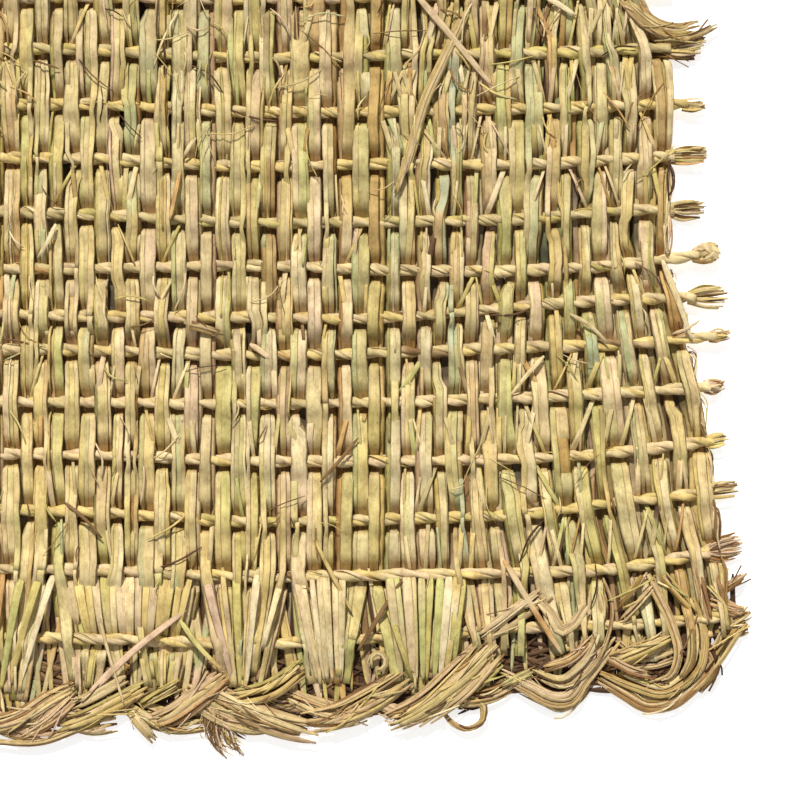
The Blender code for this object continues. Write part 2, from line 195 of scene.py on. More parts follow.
class Bunch:
    """Swept blades that become one mesh, each with its own shade, grain and strip of the map."""

    def __init__(self):
        self.points, self.faces, self.tints, self.grains = [], [], [], []
        self.places, self.strips = [], []
        self.count, self.surface = 0, 0.0

    def blade(self, path, side, half_width, half_thick, tint, section=BLADE_SECTION, painted_shade=None, seed=0.0):
        """A closed blade along path. side says where its width lies, and the sizes may vary along it.
        Its painted shade, from 0 to 1 along it, is how much of the shadow's brown its upper face gets where
        it lies deep in the weave; its lower face gets that brown where the upper one does not."""
        rings, across = len(path), len(section)
        along = unit(np.gradient(path, axis=0))
        side = np.broadcast_to(side, path.shape)
        side = unit(side - (side * along).sum(1, keepdims=True) * along)
        up = np.cross(along, side)
        half_width = np.broadcast_to(half_width, rings)[:, None, None]
        half_thick = np.broadcast_to(half_thick, rings)[:, None, None]
        points = (
            path[:, None]
            + side[:, None] * half_width * section[None, :, :1]
            + up[:, None] * half_thick * section[None, :, 1:]
        )
        points[..., 2] = np.maximum(points[..., 2], FLOOR_GAP)
        self.points.append(points.reshape(-1, 3))
        travelled = np.concatenate([[0], np.cumsum(np.linalg.norm(np.diff(path, axis=0), axis=1))])
        self.add_faces(rings, across)
        self.add_places(travelled, section * (half_width.max(), half_thick.max()))
        self.surface += self.strips[-1][0] * self.strips[-1][1] * half_width.mean() / half_width.max()
        grain = np.empty((rings, across, 3))
        grain[..., 0] = section[None, :, 0] * half_width[..., 0]
        grain[..., 1] = travelled[:, None]
        grain[..., 2] = seed
        self.grains.append(grain.reshape(-1, 3))
        tint = np.broadcast_to(tint, (rings, 3))[:, None].repeat(across, 1)
        # Painted shade: the shadow's brown on the upper face where the blade lies deep in the weave, and on
        # the lower face.
        if painted_shade is not None:
            upper = np.clip(1 + 1.2 * section[:, 1], 0, 1)
            share = (painted_shade[:, None] * upper + (1 - painted_shade[:, None]) * (1 - upper))[..., None]
            tint = tint * (1 - share + share * SHADOW_TINT)
        self.tints.append(tint.reshape(-1, 3))
        self.count += rings * across

    def add_faces(self, rings, across):
        start = self.count + np.arange(rings - 1)[:, None] * across
        i = np.arange(across)[None]
        k = (i + 1) % across
        self.faces.append(
            np.stack([start + i, start + across + i, start + across + k, start + k], -1).reshape(-1, 4)
        )
        j = np.arange(across // 2 - 1)
        cap = np.stack([j, j + 1, across - 2 - j, across - 1 - j], -1)
        self.faces.append(self.count + cap)
        self.faces.append(self.count + (rings - 1) * across + cap[:, ::-1])

    def add_places(self, travelled, outline):
        """Where the faces' corners lie on the blade's own strip, which is unrolled from its first edge."""
        rings, across = len(travelled), len(outline)
        edges = np.linalg.norm(np.diff(outline, axis=0, append=outline[:1]), axis=1)
        around = np.concatenate([[0], np.cumsum(edges)])
        before, after = travelled[:-1, None], travelled[1:, None]
        low, high = around[None, :-1], around[None, 1:]
        corners = ((before, low), (after, low), (after, high), (before, high))
        places = np.stack([np.stack(np.broadcast_arrays(*corner), -1) for corner in corners], 2)
        j = np.arange(across // 2 - 1)
        cap = np.stack([around[j], around[j + 1], around[across - 2 - j], around[across - 1 - j]], -1)
        first = np.stack([np.full(cap.shape, travelled[0]), cap], -1)
        last = np.stack([np.full(cap.shape, travelled[-1]), cap[:, ::-1]], -1)
        self.places.append(np.concatenate([places.reshape(-1, 4, 2), first, last]))
        self.strips.append((travelled[-1], around[-1]))

    def map_places(self):
        """The corners' places on one square map, with the blades' strips in rows beside each other."""
        strips = np.array(self.strips) + STRIP_GAP
        width = max(strips[:, 0].max(), math.sqrt(strips.prod(1).sum()))
        rows = []
        for i in np.lexsort((-strips[:, 0], -np.ceil(strips[:, 1]))):
            row = next((row for row in rows if row["used"] + strips[i, 0] <= width), None)
            if row is None:
                low = rows[-1]["low"] + rows[-1]["height"] if rows else 0
                row = {"used": 0, "low": low, "height": np.ceil(strips[i, 1])}
                rows.append(row)
            self.places[i] += (row["used"], row["low"])
            row["used"] += strips[i, 0]
        height = rows[-1]["low"] + rows[-1]["height"]
        return (np.concatenate(self.places) + STRIP_GAP / 2) / (width, height)

    def make(self, name, nodes=()):
        points = np.concatenate(self.points) * MM
        faces = np.concatenate(self.faces)
        mesh = bpy.data.meshes.new(name)
        mesh.vertices.add(len(points))
        mesh.vertices.foreach_set("co", points.astype(np.float32).ravel())
        mesh.loops.add(faces.size)
        mesh.loops.foreach_set("vertex_index", faces.astype(np.int32).ravel())
        mesh.polygons.add(len(faces))
        mesh.polygons.foreach_set("loop_start", np.arange(0, faces.size, 4, dtype=np.int32))
        mesh.update(calc_edges=True)
        mesh.shade_smooth()
        places = mesh.uv_layers.new(name="OFBake")
        places.uv.foreach_set("vector", self.map_places().astype(np.float32).ravel())
        tint = mesh.attributes.new("tint", "FLOAT_COLOR", "POINT")
        shades = np.ones((len(points), 4), np.float32)
        shades[:, :3] = np.concatenate(self.tints)
        tint.data.foreach_set("color", shades.ravel())
        grain = mesh.attributes.new("grain", "FLOAT_VECTOR", "POINT")
        grain.data.foreach_set("vector", np.concatenate(self.grains).astype(np.float32).ravel())
        mesh.materials.append(grass_material())
        piece = bpy.data.objects.new(name, mesh)
        bpy.context.scene.collection.objects.link(piece)
        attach(piece, "root")
        if nodes:
            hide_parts(*nodes)
        return piece


def grass_material():
    """Dry grass: each blade's own shade with the painted shade in its tint, veins along it, brown patches and
    specks, and a dull sheen.
    """
    name = "dry_grass"
    if name in bpy.data.materials:
        return bpy.data.materials[name]
    material = bpy.data.materials.new(name)
    material.use_nodes = True
    nodes, links = material.node_tree.nodes, material.node_tree.links
    shader = nodes["Principled BSDF"]

    def attribute(name):
        node = nodes.new("ShaderNodeAttribute")
        node.attribute_name = name
        return node

    def noise(scales, detail, roughness):
        """Noise over the blade's own grain: across it, along it and from blade to blade."""
        place = nodes.new("ShaderNodeVectorMath")
        place.operation = "MULTIPLY"
        place.inputs[1].default_value = scales
        links.new(grain.outputs["Vector"], place.inputs[0])
        node = nodes.new("ShaderNodeTexNoise")
        node.inputs["Scale"].default_value = 1.0
        node.inputs["Detail"].default_value = detail
        node.inputs["Roughness"].default_value = roughness
        links.new(place.outputs[0], node.inputs["Vector"])
        return node.outputs["Fac"]

    def ranged(value, from_low, from_high, to_low, to_high):
        node = nodes.new("ShaderNodeMapRange")
        links.new(value, node.inputs["Value"])
        numbers = {"From Min": from_low, "From Max": from_high, "To Min": to_low, "To Max": to_high}
        for key, number in numbers.items():
            node.inputs[key].default_value = number
        return node.outputs[0]

    def multiplied(one, other):
        node = nodes.new("ShaderNodeMath")
        node.operation = "MULTIPLY"
        links.new(one, node.inputs[0])
        links.new(other, node.inputs[1])
        return node.outputs[0]

    tint = attribute("tint")
    grain = attribute("grain")
    veins = noise((2.0, 0.05, 37.0), 3.0, 0.6)
    patches = noise((0.22, 0.13, 11.0), 4.0, 0.7)
    specks = noise((0.7, 0.3, 23.0), 2.0, 0.6)
    cleanness = multiplied(ranged(veins, 0.32, 0.6, 0.77, 1.0), ranged(patches, 0.32, 0.58, 0.5, 1.0))
    cleanness = multiplied(cleanness, ranged(specks, 0.3, 0.38, 0.65, 1.0))
    stain = nodes.new("ShaderNodeMix")
    stain.data_type = "RGBA"
    stain.inputs[6].default_value = (0.3, 0.2, 0.11, 1)
    stain.inputs[7].default_value = (1.16, 1.16, 1.22, 1)
    links.new(cleanness, stain.inputs[0])
    colour = nodes.new("ShaderNodeVectorMath")
    colour.operation = "MULTIPLY"
    links.new(tint.outputs["Color"], colour.inputs[0])
    links.new(stain.outputs[2], colour.inputs[1])
    links.new(colour.outputs[0], shader.inputs["Base Color"])
    links.new(ranged(veins, 0.0, 1.0, 0.8, 0.5), shader.inputs["Roughness"])
    bump = nodes.new("ShaderNodeBump")
    bump.inputs["Strength"].default_value = 0.7
    bump.inputs["Distance"].default_value = 0.0002
    links.new(veins, bump.inputs["Height"])
    links.new(bump.outputs[0], shader.inputs["Normal"])
    shader.inputs["Specular IOR Level"].default_value = 0.3
    return material


class Solid:
    """A CAD node's points and edges in millimetres, to be cut by planes."""

    def __init__(self, name):
        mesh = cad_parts[name].data
        points = np.empty(len(mesh.vertices) * 3, np.float32)
        mesh.vertices.foreach_get("co", points)
        edges = np.empty(len(mesh.edges) * 2, np.int32)
        mesh.edges.foreach_get("vertices", edges)
        self.points = points.reshape(-1, 3).astype(float) / MM
        edges = edges.reshape(-1, 2)
        self.starts, self.ends = self.points[edges[:, 0]], self.points[edges[:, 1]]
        self.low, self.high = self.points.min(0), self.points.max(0)

    def cut(self, axis, at):
        """The box of what a plane across the axis cuts, as its lowest and highest corner."""
        before, after = self.starts[:, axis] - at, self.ends[:, axis] - at
        hit = (before * after <= 0) & (before != after)
        share = (before[hit] / (before[hit] - after[hit]))[:, None]
        met = self.starts[hit] + share * (self.ends[hit] - self.starts[hit])
        return met.min(0), met.max(0)


def cord_line(name):
    """The cord's middle as rows of x, y and z."""
    solid = Solid(name)
    places = np.arange(solid.low[0] + 0.2, solid.high[0] - 0.1, CORD_STEP)
    boxes = np.array([solid.cut(0, x) for x in places])
    rows = boxes.mean(1)
    rows[:, 0] = places
    rows[:, 1] = smoothed(rows[:, 1], 3)
    rows[:, 2] = smoothed(rows[:, 2], 3)
    return rows


# The fans into which the bundles are drawn together above the lower border, on the mat.
FANS = (
    # x and y of its foot, shares of its blades over the gather cord and over the last one
    (4, 348, None, 0.85),
    (40, 346, None, 0.3),
    (80.5, 345, None, 0.15),
    (119, 345, None, 0.9),
    (165, 341, 0.12, 0.95),
    (207, 343, 0.08, 0.95),
    (250.5, 331, 0.3, 0.6),
    (288, 320, None, 0.6),
)
# Wide blades on the fans.
FAN_BLADES = (
    # from, to, half width, shades
    ((27, 286), (9, 344), 2.4, LIGHT),
    ((20, 286), (4, 344), 2.6, YELLOW),
    ((11, 286), (0, 345), 2.4, MOSSY),
    ((1, 286), (-5, 345), 2.6, SUNNY),
    ((102, 285), (117, 344), 2.6, ROSY),
    ((111, 284), (118, 345), 1.6, SUNNY),
    ((118, 284), (120, 345), 2.6, MOSSY),
    ((129, 284), (123, 343), 2.2, LIGHT),
    ((141, 288), (131, 326), 2.0, LIGHT),
    ((193, 300), (206.5, 341), 1.9, YELLOW),
    ((230.5, 287), (226, 334), 3.6, MOSSY),
)
# Rows of blades side by side that make one sheet.
FAN_SHEETS = (
    # from left to right above, and below, lower y, blades, half width, shades
    (38, 96, 45, 88, 321, 14, 3.0, SUNNY),
    (147, 172, 159, 170, 341, 7, 2.5, LIGHT),
    (194, 229, 201, 222, 341, 9, 2.8, FAN),
)
FAN_TOP = 287.0
FAN_REACH = 25.0  # how near to a fan's foot a bundle ends that is drawn to it
FAN_PULL = 0.25  # how much of their way to the fan's foot the bundles go beyond the solids
FAN_NARROWING = 0.3
ENDS_REACH = 6.5  # how far the bundles' blades reach into a border beyond the solids
NECK = 7.0  # how far from its narrowest place beside a cord a bundle is at its full width
OVER_PINCH = 0.1  # how much narrower it is there, where it passes over the cord
UNDER_PINCH = 0.27  # and where it comes up from under one
UNDER_SHIFT = 3.0  # how far below the cord's middle that is

# How a bundle lies beside a cord, by the distance from the cord's middle.
REST_LEVEL = 0.6  # its height between the cords, as a share of the way up
OVER_FLAT = 2.5
OVER_FALL = 8.0
SINK_FLAT = 3.0  # above a cord it sinks gently
SINK = 8.5
LEAP_FLAT = 4.7  # and below it, it comes up at once
LEAP = 2.7
OVER_STEPS = (0.0, 3.0, 6.0, 10.0)
SINK_STEPS = (0.0, 3.0, 6.0, 9.0, 12.0)
LEAP_STEPS = (3.2, 4.7, 6.0, 7.4, 9.5)
LEAST_STEP = 0.8
MOST_STEP = 4.5
BUNDLE_PITCH = 7.7  # stands in for the missing neighbours at the mat's sides
LEAST_HALF = 2.8
MOST_HALF = 4.6
OVERLAP = 0.15

# Parts of the mat where the bundles are narrower. One that is full from -49 on leaves out no place.
SLIM_PARTS = (
    # by how much, x of its start, x where full, y of its start, y where full
    (0.17, 180, 270, -50, -49),
    (0.12, 285, 310, 262, 282),
)
# Parts where the grass lies loosely, by the same columns.
LOOSE_PARTS = (
    (1.0, 185, 210, 135, 105),
    (0.5, 205, 230, 170, 200),
    (0.5, -50, -49, 75, 45),
)

# Small holes in the weave, on the mat, from which the bundles are pushed aside. The blades below them get
# painted shade.
HOLES = (
    # x, y, half height
    (210, 11, 8),
    (280, 10, 4),
    (72, 3, 4),
    (172, 6, 4),
    (308, 14, 7),
    (289, 43, 7),
    (6, 32, 4),
    (61, 58, 4),
    (34, 85, 4),
    (216, 92, 7),
    (291, 96, 4),
    (60, 111, 4),
    (244, 116, 5),
    (317, 117, 5),
    (272, 126, 5),
    (251, 140, 3),
    (217, 143, 4),
    (55, 150, 6),
    (125, 166, 5),
    (222, 184, 5),
    (339, 200, 4),
    (259, 208, 4),
    (151, 210, 4),
    (81, 236, 5),
    (259, 237, 5),
    (13, 260, 4),
)
HOLE_REACH = 5.0
HOLE_PUSH = 2.4
HOLE_MIDDLE = 1.5  # this far from a hole's middle line the push is a full one
HOLE_SLIM = 0.25  # how much narrower a bundle beside a hole is
HOLE_WIDENING_AND_SHADE = 0.8  # how much wider the blades below a hole are, and how much painted shade darkens them


def beside_holes(across, down):
    """How far each place is pushed away from the holes, and how near it is to one, from 0 to 1."""
    push, near = np.zeros(len(across)), np.zeros(len(across))
    for x, y, half_height in HOLES:
        share = np.exp(-(((across - x) / HOLE_REACH) ** 2)) * ease(2 - np.abs(down - y) / half_height)
        push += HOLE_PUSH * share * np.clip((across - x) / HOLE_MIDDLE, -1, 1)
        near = np.maximum(near, share)
    return push, near


def share_in(part, across, down):
    """What a part of the mat counts for at each place: its most where full, less towards its start."""
    most, x_start, x_full, y_start, y_full = part
    return most * eased(across, x_start, x_full) * eased(down, y_start, y_full)


class Course:
    """Where a bundle runs, sample by sample from its upper end to its lower one."""

    def __init__(self, name, cord_lines):
        solid = Solid(name)
        inside = np.arange(solid.high[1] - 0.15, solid.low[1] + 0.1, -BLADE_STEP)
        boxes = np.array([solid.cut(1, y) for y in inside])
        more = np.arange(BLADE_STEP, ENDS_REACH, BLADE_STEP)
        self.y = np.concatenate([inside[0] + more[::-1], inside, inside[-1] - more])
        self.middle = np.interp(-self.y, -inside, smoothed(boxes[:, :, 0].mean(1), 2))
        self.z = np.interp(-self.y, -inside, smoothed(boxes[:, :, 2].mean(1), 2))
        self.crossings = []
        for line in cord_lines:
            y = line[:, 1].mean()
            for _ in range(3):
                y = np.interp(self.middle_at(y), line[:, 0], line[:, 1])
            self.crossings.append((y, np.interp(-y, -self.y, self.z) > (UNDER_Z + OVER_Z) / 2))
        self.place_samples()
        self.draw_together()
        push, self.near = beside_holes(self.middle - MARK[0], MARK[1] - self.y)
        self.middle += push

    def place_samples(self):
        """Puts the samples closer together beside the cords, where the bundle bends."""
        places = [self.y[0], self.y[-1]]
        for y, over in self.crossings:
            places += [y + step for step in (OVER_STEPS if over else SINK_STEPS)]
            places += [y - step for step in (OVER_STEPS if over else LEAP_STEPS)]
        kept = [self.y[0]]
        for y in sorted(places, reverse=True):
            gap = kept[-1] - y
            if gap < LEAST_STEP or y < self.y[-1]:
                continue
            parts = math.ceil(gap / MOST_STEP)
            kept += list(np.linspace(kept[-1], y, parts + 1)[1:])
        kept = np.array(kept)
        self.middle = np.interp(-kept, -self.y, self.middle)
        solid_level = np.interp(-kept, -self.y, (self.z - UNDER_Z) / (OVER_Z - UNDER_Z))
        self.y = kept
        beyond = np.maximum(kept - self.crossings[0][0], self.crossings[-1][0] - kept)
        share = ease((beyond - SINK) / SINK)
        self.rest = REST_LEVEL * (1 - share) + solid_level * share

    def level(self, overs):
        """From 0 to 1, how high the bundle or a blade of it lies, if it passes over the cords of overs."""
        high, low = self.rest, 1.0
        for (y, _), over in zip(self.crossings, overs):
            above = self.y - y
            if over:
                high = np.maximum(high, 1 - (1 - self.rest) * ease((np.abs(above) - OVER_FLAT) / OVER_FALL))
            else:
                rise = np.where(above > 0, (above - SINK_FLAT) / SINK, (-above - LEAP_FLAT) / LEAP)
                low = np.minimum(low, ease(rise))
        return high * low

    def draw_together(self):
        """Below the gather cord the bundle runs straight towards its fan's foot, and gets narrower."""
        top = self.crossings[GATHER_CORD][0] + 3
        fan = min(FANS, key=lambda fan: abs(fan[0] + MARK[0] - self.middle[-1]))
        foot = fan[0] + MARK[0]
        self.shares_over = fan[2:4]
        near = abs(foot - self.middle[-1]) < FAN_REACH
        end = self.middle[-1] + (foot - self.middle[-1]) * FAN_PULL * near
        x = self.middle_at(top)
        t = np.clip((top - self.y) / (top - self.y[-1]), 0, 1)
        below = t > 0
        self.middle[below] = x + (end - x) * t[below]
        self.drawn = 1 - FAN_NARROWING * ease(t)

    def middle_at(self, y):
        return np.interp(-y, -self.y, self.middle)

    def between(self, left, right, chance):
        """Sets how wide the bundle is, from the neighbours' courses: it fills its place in the row."""
        left_x = left.middle_at(self.y) if left else self.middle - BUNDLE_PITCH
        right_x = right.middle_at(self.y) if right else self.middle + BUNDLE_PITCH
        free = np.clip((right_x - left_x) / 4, LEAST_HALF, MOST_HALF)
        self.z = UNDER_Z + (OVER_Z - UNDER_Z) * self.level([over for _, over in self.crossings])
        neck = np.ones(len(self.y))
        for y, over in self.crossings:
            away = np.abs(self.y - y + (0 if over else UNDER_SHIFT))
            pinch = (OVER_PINCH if over else UNDER_PINCH) * chance.uniform(0.4, 1.4)
            neck = np.minimum(neck, 1 - pinch * (1 - ease(away / NECK)))
        across, down = self.middle - MARK[0], MARK[1] - self.y
        self.mess = np.max([share_in(part, across, down) for part in LOOSE_PARTS], axis=0)
        fullness = chance.uniform(0.86, 1.06) + (1 + self.mess) * wander(chance, len(self.y), 14, 0.13)
        slim = 1
        for part in SLIM_PARTS:
            slim = slim - share_in(part, across, down)
        slim -= HOLE_SLIM * self.near
        self.half = (free + OVERLAP) * neck * fullness * self.drawn * slim


def blade_spans(course, chance):
    """Where one blade after another starts and ends. Most change below a cord, and some tips show."""
    hidden = [y for y, over in course.crossings if not over]
    spans = []
    start = course.y[0] + 1
    waits = chance.integers(1, 4)
    for y in hidden:
        waits -= 1
        if waits <= 0:
            shows = chance.random() < 0.07
            spans.append((start, y - (chance.uniform(4, 12) if shows else 2.0), shows))
            start = y + 2.0
            waits = chance.integers(1, 4)
    spans.append((start, course.y[-1] - 1 + chance.uniform(-1, 6), False))
    return spans


TIP = 9.0  # the length over which a tip that shows gets narrower
LANE_LIFT = 0.42  # how much higher each of a bundle's blades lies than the one before it
NARROW = 0.42  # a blade below this share of the bundle's width leaves its course more often
LOOSE_SWAY = 5.0  # how much more the blades sway where the grass lies loosely
LOOSE_STRAY = 1.6  # and how much farther they may leave the bundle

# How a bundle's blades lie beside and on each other, from the lowest one up.
LAYOUTS = (
    # middle and width of each blade, as shares of the bundle's width
    ((0.5, 0.95), (0.22, 0.4)),
    ((0.3, 0.6), (0.68, 0.68)),
    ((0.7, 0.6), (0.3, 0.66)),
    ((0.2, 0.42), (0.8, 0.42), (0.48, 0.6)),
    ((0.75, 0.5), (0.2, 0.4), (0.5, 0.45)),
    ((0.18, 0.36), (0.5, 0.5), (0.82, 0.38)),
    ((0.5, 0.8), (0.85, 0.3), (0.15, 0.3)),
)


def bundle_blades(bunch, number, course):
    chance = rng(1, number)
    bundle_shade = pick_shade(chance, WEAVE)
    layout = LAYOUTS[chance.integers(len(LAYOUTS))]
    for lane, (place, width) in enumerate(layout):
        lift = LANE_LIFT * (lane - (len(layout) - 1) / 2) + chance.uniform(-0.15, 0.15)
        if chance.random() < 0.5:
            place = 1 - place
        overs = [over for _, over in course.crossings]
        for i, over in enumerate(overs):
            odds = 0.03 + 0.12 * (width < NARROW)
            if i >= GATHER_CORD and course.shares_over[i - GATHER_CORD] is not None:
                share = course.shares_over[i - GATHER_CORD]
                odds = 1 - share if over else share
            if chance.random() < odds:
                overs[i] = not over
        level = course.level(overs)
        height = UNDER_Z + (OVER_Z - UNDER_Z) * level
        # Painted shade: beside the cords that it passes below, the blade gets the shadow's brown.
        painted_shade = 1 - ease(level / (0.8 * REST_LEVEL))
        for start, end, shows in blade_spans(course, chance):
            inside = (course.y <= start) & (course.y >= end)
            count = inside.sum()
            if count < 4:
                continue
            y = course.y[inside]
            one = related_shade(chance, bundle_shade, WEAVE)
            other = related_shade(chance, bundle_shade, WEAVE)
            half = course.half[inside] * width * chance.uniform(0.95, 1.15)
            mess = course.mess[inside]
            drift = chance.uniform(-0.2, 0.2) * np.linspace(-1, 1, count)
            sway = (1 + LOOSE_SWAY * mess) * wander(chance, count, 14, 0.1) + drift
            most = np.maximum(course.half[inside] * 1.04 - half, 0) + LOOSE_STRAY * mess
            offset = np.clip(course.half[inside] * ((2 * place - 1) + sway), -most, most)
            across = course.middle[inside] + offset
            path = np.stack([across, y, height[inside] + lift + wander(chance, count, 8, 0.2)], 1)
            tilt = np.radians(chance.uniform(-10, 10)) + wander(chance, count, 12, 0.1)
            side = np.stack([np.cos(tilt), np.zeros(count), np.sin(tilt)], 1)
            half = half * (1 + wander(chance, count, 12, 0.08))
            if shows:
                half = half * np.clip((y - end) / TIP + 0.15, 0, 1)
            thick = chance.uniform(0.28, 0.42)
            shade = odd_shades(blended(chance, count, one, other), across, y, half)
            bunch.blade(path, side, half, thick, shade, painted_shade=painted_shade[inside], seed=chance.uniform(0, 100))
    for _ in range(chance.integers(0, 3)):
        stalk_along(bunch, chance, course)
    base_blade(bunch, chance, course, bundle_shade)


def stalk_along(bunch, chance, course):
    """A thin round stalk in a bundle."""
    count = len(course.y)
    place = chance.uniform(-1, 1) + wander(chance, count, 15, 0.3)
    first = chance.integers(0, count // 2)
    last = min(first + chance.integers(15, 60), count)
    part = slice(first, last)
    height = course.z + chance.uniform(-0.3, 0.9)
    path = np.stack([course.middle + course.half * place, course.y, height], 1)[part]
    radius = chance.uniform(0.45, 0.75)
    shade = pick_shade(chance, WEAVE) * chance.uniform(0.7, 1.1)
    bunch.blade(path, (1, 0, 0), radius, radius, shade, STALK_SECTION, seed=chance.uniform(0, 100))


def base_blade(bunch, chance, course, shade):
    """The bundle's lower blades as one ribbon under those that show, in darker and browner copies of the
    weave's shades as painted shade.
    """
    overs = [over and i < GATHER_CORD for i, (_, over) in enumerate(course.crossings)]
    z = UNDER_Z + (OVER_Z - UNDER_Z) * course.level(overs)
    z[1:-1] = np.minimum(np.minimum(z[:-2], z[2:]), z[1:-1])
    y, z, half = course.y[::2], z[::2], course.half[::2]
    path = np.stack([course.middle[::2], y, np.clip(z - 1.2, 0.9, OVER_Z)], 1)
    # Painted shade: the bundle's own shade and a weave shade, both darkened and browned.
    shades = blended(chance, len(y), shade * (0.9, 0.83, 0.72), pick_shade(chance, WEAVE) * (0.84, 0.74, 0.6))
    bunch.blade(path, (1, 0, 0), half, 0.3, shades, STALK_SECTION, seed=chance.uniform(0, 100))


# The blades low between two bundles, which close the view through the weave.
GAP_BLADES = (
    # height, most half width, how far they stray, shades, brightness of their other shade, which dims a weave
    # shade as painted shade, right of
    (0.6, 3.4, 0.4, OLD, 0.55, -100),
    (2.2, 1.8, 1.8, WEAVE, 0.7, 240),
)


def gap_blades(bunch, chance, left, right):
    y = left.y[::2]
    line = (left.middle_at(y) + right.middle_at(y)) / 2
    count = len(y)
    for z, most, stray, shades, shaded_brightness, start in GAP_BLADES:
        if line.mean() < start + MARK[0]:
            continue
        x = line + wander(chance, count, 6, stray)
        path = np.stack([x, y, z + wander(chance, count, 7, 0.1)], 1)
        near = beside_holes(line - MARK[0], MARK[1] - y)[1]
        half = most * chance.uniform(0.75, 1) * (1 + wander(chance, count, 8, 0.12)) * (1 + HOLE_WIDENING_AND_SHADE * near)
        one = pick_shade(chance, shades) * chance.uniform(0.7, 1)
        # The other shade is a weave shade dimmed as painted shade.
        shade = blended(chance, count, one, shaded_brightness * pick_shade(chance, WEAVE))
        # Painted shade darkens the blades below the holes; the wander is a random change of tone.
        shade = shade * ((1 - HOLE_WIDENING_AND_SHADE * near) * (1 + wander(chance, count, 4, 0.3)))[:, None]
        bunch.blade(path, (1, 0, 0), half, 0.3, shade, STALK_SECTION, seed=chance.uniform(0, 100))


# Stretches of bundles that have another shade than the rest.
ODD_STRETCHES = (
    # x, upper y, lower y, shade
    (258.5, 2, 39, "grey_green"),
    (265.5, 30, 79, "grey_green"),
    (226, 30, 78, "blue_green"),
    (223.5, 82, 133, "blue_green"),
    (225, 140, 172, "blue_green"),
    (227.5, 178, 204, "grey_green"),
    (231, 232, 275, "blue_green"),
    (296, 170, 200, "blue_green"),
    (65, 55, 104, "grey_green"),
    (152, 58, 108, "green"),
    (135.5, 83, 153, "amber"),
    (337, 148, 168, "orange"),
    (97, 168, 232, "pink"),
    (50, 60, 128, "hay"),
    (313, 92, 140, "gold"),
    (18, 196, 262, "gold"),
    (120, 250, 300, "olive"),
)
ODD_FADE = 5.0
# Parts of the weave that lean to one shade.
ZONES = (
    # x, y, how far it reaches, shade, share
    (25, 25, 50, "hay", 0.35),
    (30, 105, 30, "olive", 0.25),
    (140, 60, 45, "olive", 0.25),
    (95, 150, 45, "straw", 0.2),
    (30, 235, 55, "gold", 0.4),
    (120, 280, 40, "gold", 0.4),
    (200, 150, 45, "hay", 0.2),
    (235, 225, 45, "straw", 0.25),
    (310, 70, 45, "sand", 0.25),
    (310, 230, 50, "gold", 0.25),
    (215, 290, 35, "straw", 0.3),
)


def odd_shades(shade, across, y, half):
    """A blade's shades along it, with those of the zones and the odd stretches that it runs through."""
    for x, down, reach, name, most in ZONES:
        away = np.hypot(across - x - MARK[0], MARK[1] - down - y) / reach
        share = most * np.exp(-(away**2))[:, None]
        shade = shade * (1 - share) + linear(SHADES[name]) * share
    for x, upper, lower, name in ODD_STRETCHES:
        near = np.abs(across - x - MARK[0]) < half + 1.0
        fade = ease((MARK[1] - upper - y) / ODD_FADE + 1) * ease((y - MARK[1] + lower) / ODD_FADE + 1)
        share = 0.7 * (fade * near)[:, None]
        shade = shade * (1 - share) + linear(SHADES[name]) * share
    return shade


def make_bundles(cord_lines):
    courses = [Course(name, cord_lines) for name in BUNDLES]
    for i, course in enumerate(courses):
        right = courses[i + 1] if i + 1 < len(courses) else None
        course.between(courses[i - 1] if i else None, right, rng(7, i))
    for first in range(0, len(BUNDLES), BUNDLES_PER_PIECE):
        names = BUNDLES[first : first + BUNDLES_PER_PIECE]
        bunch = Bunch()
        for i in range(first, first + len(names)):
            bundle_blades(bunch, i, courses[i])
            if i + 1 < len(courses):
                gap_blades(bunch, rng(3, i), courses[i], courses[i + 1])
        piece = bunch.make(f"grass_{first // BUNDLES_PER_PIECE + 1:02d}", names)
    return courses


PLY_SIDES = 10
PLY_LAY = 34.0
PLY_OFFSET = 1.15
PLY_RADIUS = 1.9
WRAPPING_LEAVES = 6
WRAPPING_RADIUS = 2.75
KNOT_BLADES = 15


def ply_section():
    """A ply of three blades: a round with three lobes."""
    angles = np.arange(PLY_SIDES) * 2 * np.pi / PLY_SIDES
    radius = 1 + 0.16 * np.cos(3 * angles)
    return np.stack([-radius * np.cos(angles), radius * np.sin(angles)], 1)


# The right ends of the cords.
CORD_ENDS = (
    # blades, how far they spread to each side, how far the plies stop before the tip, knot's radius, shades
    (5, 2.0, 3.0, 0, TWINE),
    (44, 5.5, 18.0, 0, BUSH),
    (20, 3.2, 8.0, 0, TWINE),
    (26, 4.2, 18.0, 0, TWINE),
    (26, 4.8, 15.0, 0, BUSH),
    (18, 4.0, 10.0, 5.6, TWINE),
    (24, 6.2, 16.0, 0, TWINE),
    (16, 2.2, 7.0, 0, TWINE),
    (18, 2.6, 8.0, 0, ROSY),
    (18, 2.8, 7.0, 0, YELLOW),
    (18, 4.4, 14.0, 0, TWINE),
    (40, 7.0, 15.0, 0, ROSY),
    (26, 5.0, 10.0, 0, PLAIT),
)


def make_cords(cord_lines):
    for first in range(0, len(CORDS), CORDS_PER_PIECE):
        bunch = Bunch()
        for number in range(first, min(first + CORDS_PER_PIECE, len(CORDS))):
            twisted_cord(bunch, number, cord_lines[number])
            cord_end(bunch, number, cord_lines[number])
        names = CORDS[first : first + CORDS_PER_PIECE]
        bunch.make(f"cords_{first // CORDS_PER_PIECE + 1:02d}", names)


